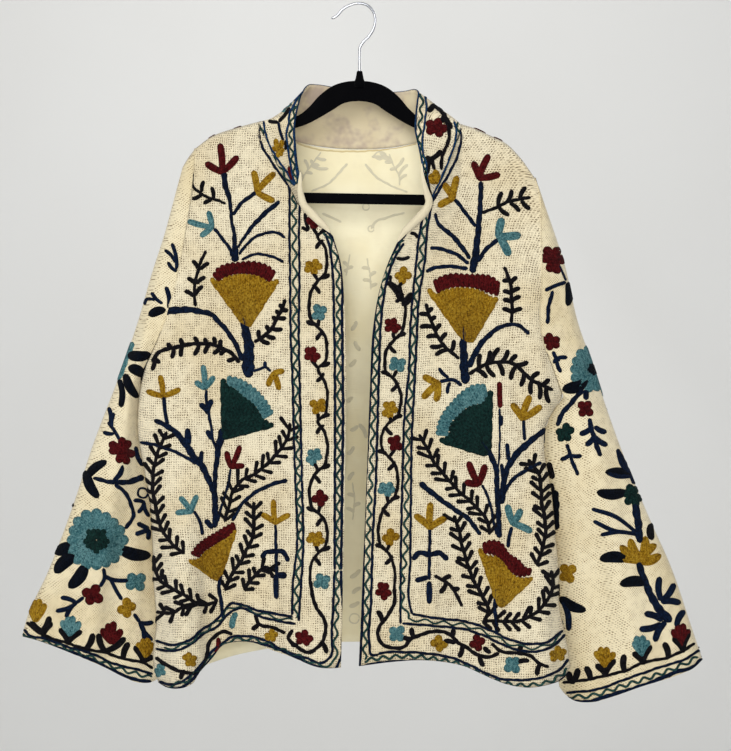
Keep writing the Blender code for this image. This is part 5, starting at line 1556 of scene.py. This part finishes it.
# The back's plan, on the same paper as seen from the front, and so mirrored when seen from behind
PLAN_BACK = """
tulip maroon 6 : 238 190 228 172 238 168 248 175
line navy 5 6 7 : 238 191 242 215 240 245
tulip mustard 6 : 300 205 290 188 301 184 311 190
line navy 4 4.5 : 300 206 290 225 268 245 246 262
tulip teal 6 : 205 240 192 226 203 220 214 226
line navy 4 : 206 241 218 256 232 266
comb maroon 5 13 : 206 282 216 272 232 267 248 267 262 272 272 282 / 212 291 222 283 235 279 248 279 258 283 266 291
comb mustard 5 14 : 209 288 222 284 235 281 248 281 258 284 269 289 / 215 306 224 322 234 333 240 335 246 333 254 322
  264 306
line navy 7 9 11 : 240 330 241 350 242 375
garland black 3.2 4.2 9 7.5 : 236 360 222 346 200 342 178 352 162 372 / 246 360 262 346 280 322 288 300
line navy 5 5 7 : 232 352 212 324 184 318 164 326
tulip teal 5.5 : 205 392 195 376 205 371 215 377
line teal 3 : 205 393 208 412 212 430
tulip mustard 5.5 : 168 402 158 386 168 381 178 387
line mustard 3.2 : 168 403 169 430
comb teal 4.6 11 : 228 380 244 384 258 394 268 406 276 420 / 228 392 240 396 250 404 258 414 264 426
comb green 5.4 8 : 228 394 240 398 250 406 258 416 264 428 / 224 446 230 446 236 446 242 444 250 440
line navy 8 6 5.5 5.5 : 224 432 218 462 216 500 216 540
line navy 4 6 6 5 : 160 430 184 446 204 480 214 520
garland black 3.2 4.2 9.5 7.5 : 288 430 276 460 252 480 234 505 224 536
comb maroon 4.8 11 : 190 556 200 545 216 538 232 542 242 552 / 196 564 205 555 217 550 228 553 237 560
comb mustard 4.8 11 : 192 562 204 556 217 552 230 555 240 560 / 198 580 206 590 216 594 226 590 236 578
line navy 5 : 216 592 217 606 218 622
tulip mustard 5.5 : 270 545 260 529 270 524 281 530
line mustard 3.2 : 270 546 271 570 272 600
tulip maroon 6 : 482 192 472 174 483 170 493 177
line navy 5 6 7 : 482 193 479 218 480 248
tulip mustard 6 : 424 206 414 190 424 186 435 192
line navy 4 4.5 : 424 207 434 227 452 247 474 264
tulip teal 6 : 515 246 505 230 515 226 526 232
line navy 4 : 514 247 502 260 488 270
comb maroon 5 13 : 446 284 456 274 472 269 488 269 502 274 512 284 / 452 293 462 285 475 281 488 281 498 285 506 293
comb mustard 5 14 : 449 290 462 286 475 283 488 283 498 286 509 291 / 455 308 464 324 474 335 480 337 486 335 494 324
  504 308
line navy 7 9 11 : 480 332 479 352 478 377
garland black 3.2 4.2 9 7.5 : 484 362 498 348 518 346 536 360 546 380 / 474 362 458 348 440 324 432 302
line navy 5 5 7 : 488 354 506 328 524 322 536 334
tulip teal 5.5 : 515 396 505 380 515 375 525 381
line teal 3 : 515 397 512 416 508 434
comb teal 4.6 11 : 492 382 476 386 462 396 452 408 444 422 / 492 394 480 398 470 406 462 416 456 428
comb green 5.4 8 : 492 396 480 400 470 408 462 418 456 430 / 496 448 490 448 484 448 478 446 470 442
line navy 8 6 5.5 5.5 : 496 434 502 464 504 502 504 542
line navy 4 6 6 5 : 550 436 532 450 516 482 506 522
garland black 3.2 4.2 9.5 7.5 : 432 432 444 462 468 482 486 507 496 538
comb maroon 4.8 11 : 478 558 488 547 504 540 520 544 530 554 / 484 566 493 557 505 552 516 555 525 562
comb mustard 4.8 11 : 480 564 492 558 505 554 518 557 528 562 / 486 582 494 592 504 596 514 592 524 580
line navy 5 : 504 594 503 608 502 622
tulip mustard 5.5 : 450 547 440 531 450 526 461 532
line mustard 3.2 : 450 548 449 572 448 602
line navy 8 9 10 : 360 214 361 250 360 290
tulip maroon 7 : 360 216 346 196 360 190 374 196
leaf navy 7 : 330 226 358 250 390 226 362 250 326 262 358 282 394 262 362 282
flower teal 8 16 : 360 312
garland black 3.4 4.6 9.5 8 : 356 330 336 350 318 380 312 420 / 364 330 384 350 402 380 408 420
line navy 8 6 6 6 : 360 330 361 380 359 440 360 500
flower mustard 6 13 : 336 400 384 400
comb maroon 5 13 : 328 448 340 438 360 434 380 438 392 448 / 334 456 346 448 360 446 374 448 386 456
comb mustard 5 14 : 331 453 346 449 360 448 374 449 389 453 / 340 474 350 486 360 490 370 486 380 474
flower maroon 6 13 : 330 530 390 530
line navy 6 6 7 : 360 492 361 540 360 596
garland black 3.2 4.4 9.5 7.5 : 356 570 334 576 314 594 / 364 570 386 576 406 594
line blue 2.8 : 156 636 185 629 224 617 262 606 300 601 360 598 420 600 470 606 520 613 564 622 / 156 643 185 636
  224 624 262 613 300 608 360 605 420 607 470 613 520 620 565 629
wave sage 2 20 1.6 : 156 639.5 185 632.5 224 620.5 262 609.5 300 604.5 360 601.5 420 603.5 470 609.5 520 616.5
  564 625.5
line blue 3 : 157 672 190 664 224 653 262 643 300 638 360 635.5 420 637 470 643 520 650 568 659
line navy 3.2 : 158 679 190 671 224 660 262 650 300 645 360 642 420 644 470 650 520 657 570 666
wave sage 2.4 22 2 : 157 675.5 190 667.5 224 656.5 262 646.5 300 641.5 360 639 420 640.5 470 646.5 520 653.5 568 662.5
flower mustard 5 8.5 : 200 648
flower teal 5 8.5 : 252 631
flower maroon 5 8.5 : 306 623
flower mustard 5 8.5 : 360 620
flower teal 5 8.5 : 414 622
flower maroon 5 8.5 : 466 628
flower mustard 5 8.5 : 520 636
garland navy 3 4 14 7 : 168 662 200 660 226 638 252 644 280 620 306 636 332 610 360 632 388 610 414 634 440 616
  466 641 494 626 520 649 548 640
leaf maroon 4 : 234 130 240 124 243 132 238 125 209 140 214 134 474 131 480 125 484 133 478 126 494 140 500 134
leaf mustard 3.5 : 537 190 539 184
"""

# The rear of each sleeve, on the same paper
PLAN_SLEEVE_RIGHT_REAR = """
flower maroon 7 14 : 128 440
leaf ink 9 : 150 356 130 350 146 376 130 366 138 398 125 378
line navy 4 5 6 : 126 456 112 482 96 505
bloom teal green 15 28 12 : 92 545
leaf ink 11 : 58 560 72 548 60 580 76 562 76 596 86 574 146 560 120 552
flower teal 4 10.5 : 132 590
flower maroon 5 11 : 88 600
line navy 4 : 108 574 118 586 126 600
flower mustard 4 10.5 : 112 618
leaf navy 5 : 144 480 132 470 146 500 134 492 142 520 130 508
tulip mustard 8 : 44 618 34 602 43 598 53 604
tulip teal 8.5 : 76 634 66 618 76 614 86 620
tulip maroon 8.5 : 112 642 102 626 112 622 122 628
tulip mustard 7.5 : 142 650 134 636 143 632 150 639
leaf black 5.5 : 56 618 62 632 68 624 62 632 92 628 96 644 102 634 96 644 124 636 128 651 133 642 128 651
line black 2.6 : 27 620 47 633 76 643 106 650 128 657 150 662
line navy 2.1 : 25 627 44.4 633 67.4 640 93 647 112 655 137.6 664 153 672
line navy 2.3 : 24 634 33 637 67.4 646 93 654 112 663 137.6 674 151.6 679
wave sage 2 15 1.8 : 24.5 630.5 56 640 80 647 102.5 656 125 665 152 675.5
"""

PLAN_SLEEVE_LEFT_REAR = """
flower maroon 6 13.5 : 560 330
leaf ink 8 : 584 352 566 344 590 376 570 366
bloom teal green 14 24 10 : 582 410
line navy 5 5 6 : 584 436 596 468 612 496
flower green 6 11 : 566 456
leaf ink 8 : 590 492 606 482 622 470 610 484 576 484 570 466
bloom mustard mustard 9 18 9 : 626 545
leaf ink 9 : 596 556 616 548 600 532 616 538 652 524 634 534
flower maroon 5 10 : 584 520
line navy 6 7 8 : 630 566 646 594 664 618
leaf navy 7 : 640 614 658 610 676 590 662 604 622 590 642 588
flower mustard 5 9 : 580 590
leaf ink 8 : 596 626 580 606 572 632 578 608
tulip maroon 8 : 678 642 669 626 678 622 687 628
tulip teal 8 : 640 652 631 637 640 633 649 639
tulip mustard 8 : 600 664 591 649 600 645 610 651
leaf black 5.5 : 652 636 658 650 664 640 658 650 612 650 620 664 626 654 620 664 576 668 582 680 588 670 582 680
line black 2.6 : 566 682 600 676 632 667 664 655 692 642
line navy 2.1 : 566 691 596.8 684 626 673 660.5 660 686.4 652 700 647
line navy 2.3 : 571 700 609 690 643 679 677.8 666 702 656
wave sage 2 14 1.9 : 568 695.5 617.5 681 652 669 682 658 700 651.5
"""


# Hanger and hook. Columns: across, drop, half width, from the middle of the arms to the middle of the bar
HANGER_RUN = (
    (0, 101, 12), (12, 102, 12), (24, 105.5, 12), (38, 115, 11.5), (53, 127.5, 8.6), (66, 136, 6.8),
    (80, 141, 6), (100, 144.6, 5.8), (118, 147.8, 5.8), (134, 153.4, 5.8), (150, 160, 5.8),
    (168, 168.8, 5.8), (178, 176, 5.6), (185, 186, 5.4), (188, 198, 5.2), (187.5, 209, 5.2),
    (183, 219.5, 5.4), (174, 226, 5.8), (150, 227.3, 6.2), (110, 227.3, 6.2), (70, 227.3, 6.2),
    (35, 227.3, 6.2), (0, 227.3, 6.2),
)
HANGER_TILT = 1.0
HANGER_THICKNESS = 5.0
# Columns: drop, radius. The neck, with a bead at its lip, down into the arms
HANGER_NECK = (
    (78, 1.9), (78, 2.9), (78.5, 3.3), (81, 3.7), (86, 4.6), (90, 6.0), (94, 6.3), (97, 6.2), (97, .1),
)
HOOK_RADIUS = 1.6
HOOK_STEP = .9
# Columns: across, drop. The hook's middle line, from its tip to its foot
HOOK_RUN = (
    (-33, 16.4), (-29, 14.8), (-25, 11.4), (-20, 5.8), (-11, .6), (0, -1.6), (9, .9), (15.6, 7.6), (18.4, 17.5),
    (16.4, 28), (11, 37), (4.2, 44), (.6, 50), (0, 57), (0, 75), (0, 94.7),
)


def edge_row(panel, wool):
    """A row of wool over a panel's last row of points: the wool's section carried along it, half its width
    down the cloth and half its height off it."""
    points = panel.points[-1]
    down = unit(points - panel.points[-2])
    section = WOOL_SECTION * (ROW_WIDTH / 2, .9)
    off = down[:, None] * (section[None, :, :1] - ROW_WIDTH * .2) + panel.out[-1][:, None] * section[None, :, 1:]
    links = np.linalg.norm(np.diff(points, axis=0), axis=1).sum() / (LINK_LENGTH * MM)
    return tube(f"stitches_{wool}_{panel.name}_edge", points[:, None] + off * MM, WOOL[wool], links=links)


def tube(name, rings, material, closed=False, flip=False, links=1.0):
    """A piece through a run of rings of points: quads between neighbours and, unless the run is closed, a cap
    at each end. Links is the UV pair's reach along it."""
    count, sides = rings.shape[:2]
    j, i = np.divmod(np.arange((count if closed else count - 1) * sides), sides)
    k, m = (j + 1) % count, (i + 1) % sides
    corner = np.arange(sides)[None]
    faces = [np.stack([j * sides + i, k * sides + i, k * sides + m, j * sides + m], axis=1)]
    if not closed:
        faces += [corner, (count - 1) * sides + corner[:, ::-1]]
    if flip:
        faces = [group[:, ::-1] for group in faces]
    around = np.linspace(0, 1, sides)
    uv = np.stack(np.meshgrid(np.linspace(0, links, count), around, indexing="ij"), axis=-1).reshape(-1, 2)
    return make_piece(name, rings.reshape(-1, 3), faces[0], material, uv, faces[1:])


def roll_piece(name, rows, side, material):
    """The lining's roll over a front edge: a curled section of even wall, carried along the edge and sized
    by the table's last column."""
    path = along(rows, np.linspace(0, 1, 70))
    inset = beside(path[:, :2]) * side
    section = along(ROLL_SECTION, np.linspace(0, 1, 25), by_row=True)
    across_wall = beside(section) * ROLL_WALL / 2
    size = path[:, 3][:, None, None]
    from_top, from_foot = np.linspace(0, 1, len(path)), np.linspace(1, 0, len(path))
    taper = np.sqrt(np.clip(np.minimum(from_top / .5, from_foot / .2), .04, 1))
    least = np.array([.55, .45])
    shaped = section[None] * (least + (1 - least) * size) * .9 * taper[:, None, None]
    ripple = .35 * np.sin(np.linspace(0, 23, len(path)))[:, None] * size[:, :, 0]
    shaped[..., 0] -= np.where(section[:, 0] < 2, ripple, 0)
    shaped[..., 1] = np.where(section[:, 1] > 0, np.maximum(shaped[..., 1], 1), shaped[..., 1])
    loop = np.concatenate([shaped + across_wall, (shaped - across_wall)[:, ::-1]], axis=1)
    flat = path[:, None, :2] + inset[:, None] * loop[..., :1]
    return tube(name, seen(np.dstack([flat, path[:, 2:3] - loop[..., 1]])), material, flip=side > 0)


def hanger_piece(material):
    """The flocked frame: a flat section with round corners, a superellipse, carried round the arms and bar."""
    half = np.asarray(HANGER_RUN, float)
    run = np.concatenate([half, half[-2:0:-1] * (-1, 1, 1), half[:1]])
    run = along(run, np.linspace(0, 1, 241))[:-1]
    tilt = np.radians(HANGER_TILT)
    path = np.column_stack([
        run[:, 0] * np.cos(tilt) - run[:, 1] * np.sin(tilt) + np.sin(tilt) * HANGER_NECK[0][0],
        run[:, 1] * np.cos(tilt) + run[:, 0] * np.sin(tilt),
    ])
    outward = -square_to(unit(np.roll(path, -1, axis=0) - np.roll(path, 1, axis=0)))
    round_way = ways(np.linspace(0, 2 * np.pi, 25)[:-1])
    wide, thick = (np.sign(round_way) * np.abs(round_way) ** .7).T
    flat = path[:, None] + outward[:, None] * (run[:, 2:] * wide)[..., None]
    rings = upright(flat, -thick * HANGER_THICKNESS / 2)
    return tube("hanger_arms_and_bar", rings, material, closed=True, flip=True)


def neck_piece(material):
    """The hanger's neck: a radius at each drop, turned about the hook's upright line."""
    rows = np.asarray(HANGER_NECK, float)
    flat = rows[:, None, 1:] * ways(np.linspace(0, 2 * np.pi, 29)[:-1])
    rings = np.dstack([flat, np.broadcast_to(-rows[:, :1], flat.shape[:2])]) * MM
    return tube("hanger_neck", rings, material)


def hook_piece(material):
    """The wire hook: a circle carried along the hook's line, with a round tip."""
    path, share, length = run_through(HOOK_RUN, HOOK_STEP)
    angle = np.linspace(0, 2 * np.pi, 17)[:-1]
    radius = (HOOK_RADIUS * np.maximum(rounded(share * length / HOOK_RADIUS), .1))[:, None]
    flat = path[:, None] + (beside(path) * radius)[:, None] * np.cos(angle)[:, None]
    return tube("hook_wire", upright(flat, radius * np.sin(angle)), material)


def make_panels():
    """The five body panels and the collar as grids."""
    front_right = Panel("front_right", front_grid(
        ARMHOLE_RIGHT, SIDE_RIGHT, SHOULDER_RIGHT, NECK_RIGHT, SLOPE_RIGHT, FRONT_EDGE_RIGHT, HEM_RIGHT, FOLDS_RIGHT,
    ), False, start=-1)
    front_left = Panel("front_left", front_grid(
        ARMHOLE_LEFT, SIDE_LEFT, SHOULDER_LEFT, NECK_LEFT, SLOPE_LEFT, FRONT_EDGE_LEFT, HEM_LEFT, FOLDS_LEFT,
    ), True, start=-1)
    back = back_grid()
    back = Panel("back", back, True, start=back.shape[1] // 2)
    sleeve_right = sleeve_grid(
        ARMHOLE_RIGHT, SLEEVE_TOP_RIGHT, SLEEVE_OUTER_RIGHT, SLEEVE_INNER_RIGHT, CUFF_RIGHT, SLEEVE_FOLDS_RIGHT, -1,
    )
    sleeve_left = sleeve_grid(
        ARMHOLE_LEFT, SLEEVE_TOP_LEFT, SLEEVE_OUTER_LEFT, SLEEVE_INNER_LEFT, CUFF_LEFT, SLEEVE_FOLDS_LEFT, 1,
    )
    fold = (sleeve_right.shape[1] - 1) // 2
    parts = {"front": (0, fold), "rear": (fold, fold * 2)}
    sleeve_right = Panel("sleeve_right", sleeve_right, True, start=fold, parts=parts)
    sleeve_left = Panel("sleeve_left", sleeve_left, False, start=fold, parts=parts)
    collar = collar_grid()
    last = collar.shape[1] - 1
    collar = Panel("collar", collar, False, start=collar.shape[1] // 2)
    turned = np.nonzero(collar.out[-9:-2, :, 1].max(axis=0) > COLLAR_TURNED)[0]
    collar.parts.update(right=(0, int(turned[0])), left=(int(turned[-1]), last))
    return front_right, front_left, back, sleeve_right, sleeve_left, collar


def dress(piece, node):
    """Every piece rides the one body and, where it stands for a solid, hides that solid."""
    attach(piece, "root")
    if node:
        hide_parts(node)
    return piece


def sew_embroidery(panels):
    """Follows every stitch plan on its panel, and gives each panel's pieces of wool."""
    front_right, front_left, back, sleeve_right, sleeve_left, collar = panels
    wool = {}
    for panel, part, plan, band, flowers in (
        (front_right, "face", PLAN_FRONT_RIGHT, BAND_RIGHT, FLOWERS_FRONT_RIGHT),
        (front_left, "face", PLAN_FRONT_LEFT, BAND_LEFT, FLOWERS_FRONT_LEFT),
        (back, "face", PLAN_BACK, (), ()),
        (sleeve_right, "front", PLAN_SLEEVE_RIGHT, (), ()),
        (sleeve_right, "rear", PLAN_SLEEVE_RIGHT_REAR, (), ()),
        (sleeve_left, "front", PLAN_SLEEVE_LEFT, (), ()),
        (sleeve_left, "rear", PLAN_SLEEVE_LEFT_REAR, (), ()),
        (collar, "right", PLAN_COLLAR_RIGHT, (), ()),
        (collar, "left", PLAN_COLLAR_LEFT, (), ()),
    ):
        stitching = Stitching(panel, part)
        stitching.follow(plan)
        if band:
            stitching.vine("black", band, flowers)
        wool.setdefault(panel.name, []).extend(stitching.pieces())
    return wool


# Each outer piece's cut: width and length in metres, area in square metres, and what it hangs from
CUTS = {
    "front_right": (.26, .66, .145, ["hanger_arms_and_bar"]),
    "front_left": (.27, .66, .145, ["hanger_arms_and_bar"]),
    "back": (.54, .66, .31, ["hanger_arms_and_bar"]),
    "sleeve_right": (.38, .58, .125, ["front_right_cloth", "back_cloth"]),
    "sleeve_left": (.38, .58, .125, ["front_left_cloth", "back_cloth"]),
    "collar": (.62, .07, .024, ["front_right_cloth", "front_left_cloth", "back_cloth"]),
}
# Where the collar's rows by its free edge look further to the rear than this, it has turned round the neck
COLLAR_TURNED = -.04
# The share of the back that is lined: below the top and between the sides, and all the way up by the neck
LINING_TOP = .055
LINING_SIDES = (.08, .92)
LINING_NECK = (.29, .71)
COLLAR_LINING_SPAN = (.346, .654)


def within(values, span):
    """Whether each value lies in the open span."""
    return (values > span[0]) & (values < span[1])


def make_linings(back, collar):
    """The back's lining, and the collar's across the back of the neck."""
    rows, columns = back.points.shape[:2]
    t = crowded(rows)[:-1, None]
    s = np.linspace(0, 1, columns)[None, :-1]
    keep = ((t > LINING_TOP) & within(s, LINING_SIDES)) | within(s, LINING_NECK)
    back_lining = back.shell(INSIDE, LINING_WALL, LINING_GAP, keep, "back_lining_cloth")
    rows, columns = np.array(collar.points.shape[:2]) - 1
    keep = np.broadcast_to(within(np.arange(columns)[None] / columns, COLLAR_LINING_SPAN), (rows, columns))
    collar_lining = collar.shell(INSIDE_COLLAR, LINING_WALL, LINING_GAP, keep, "collar_lining_cloth")
    return dress(back_lining, "back_lining"), dress(collar_lining, "collar_lining")


def make_jacket():
    """The cloth, its linings and rolls, and its embroidery."""
    panels = make_panels()
    back, collar = panels[2], panels[5]
    for panel in panels:
        sleeve = panel.name.startswith("sleeve")
        dress(panel.shell(SLEEVE if sleeve else OUTER, ring=sleeve), panel.name)
    back_lining, collar_lining = make_linings(back, collar)
    for wearers, rows, side in (("right", ROLL_RIGHT, 1), ("left", ROLL_LEFT, -1)):
        roll = roll_piece(f"edge_roll_{wearers}_cloth", rows, side, ROLLED)
        dress(roll, f"edge_roll_{wearers}")
    wool = sew_embroidery(panels)
    wool["collar"].append(edge_row(collar, "blue"))
    for name, (width, length, area, rests_on) in CUTS.items():
        for piece in wool[name]:
            dress(piece, None)
    marks = Stitching(back, "face", LINING_GAP + LINING_WALL)
    marks.follow(PLAN_LINING)
    marks = [dress(piece, None) for piece in marks.pieces()]


def make_hanger():
    """The frame, its neck and the hook."""
    flock = flock_paint()
    chrome = chrome_paint()
    dress(hanger_piece(flock), "hanger_frame")
    dress(neck_piece(flock), None)
    dress(hook_piece(chrome), "hanger_hook")


# Stage, in metres
FLOOR_HEIGHT = -1.75
BACKDROP_PLACE = 3.4
BACKDROP_TOP = 4.0
STAGE_HALF = 6.0
WORLD_LIGHT = .49
LENS = 81.94
# Columns: name, place, what it aims at, size, power
LIGHTS = (
    ("key", (-1.1, -2.6, 1.0), (0, 0, -.4), 1.8, 47),
    ("fill", (.25, -2.7, -.3), (0, 0, -.45), 1.2, 26),
    ("backdrop_glow", (0, 1.3, 1.2), (0, 3.4, -.3), 2.4, 21),
    ("rear", (1.5, 2.4, .9), (0, 0, -.4), 1.6, 26),
)


def make_stage():
    """A pale floor and backdrop, soft lights and the camera."""
    scene = bpy.context.scene

    def add(name, data):
        """A new object of the scene."""
        item = bpy.data.objects.new(name, data)
        scene.collection.objects.link(item)
        return item

    half, floor, back = STAGE_HALF, FLOOR_HEIGHT, BACKDROP_PLACE
    front = ((-half, -half, floor), (half, -half, floor))
    seam = ((half, back, floor), (-half, back, floor))
    top = ((half, back, BACKDROP_TOP), (-half, back, BACKDROP_TOP))
    for name, corners, base, other in (
        ("floor", front + seam, (222, 222, 222), (216, 216, 216)),
        ("backdrop", seam[::-1] + top, (233, 233, 230), (228, 227, 223)),
    ):
        mesh = bpy.data.meshes.new(name)
        mesh.from_pydata(corners, [], [(0, 1, 2, 3)])
        mesh.materials.append(wall_paint("pale_" + name, colour(*base), colour(*other)))
        add(name, mesh)

    for name, place, aim, size, power in LIGHTS:
        light = bpy.data.lights.new(name, "AREA")
        light.size = size
        light.energy = power
        lamp = add(name, light)
        lamp.location = place
        x, y, z = (float(value) for value in np.subtract(aim, place))
        lamp.rotation_euler = (float(np.arctan2(np.hypot(x, y), -z)), 0, float(np.arctan2(-x, y)))

    scene.world = scene.world or bpy.data.worlds.new("world")
    scene.world.use_nodes = True
    background = scene.world.node_tree.nodes["Background"]
    background.inputs[0].default_value = (.97, .98, 1, 1)
    background.inputs[1].default_value = WORLD_LIGHT

    lens = bpy.data.cameras.new("camera")
    lens.lens = LENS
    lens.clip_start = .05
    lens.clip_end = 40
    scene.camera = add("camera", lens)
    scene.camera.location = (EYE_ACROSS * MM, -EYE_DISTANCE * MM, -EYE_DROP * MM)
    scene.camera.rotation_euler = (np.pi / 2, 0, 0)
    scene.view_settings.view_transform = "Standard"


make_jacket()
make_hanger()
make_stage()
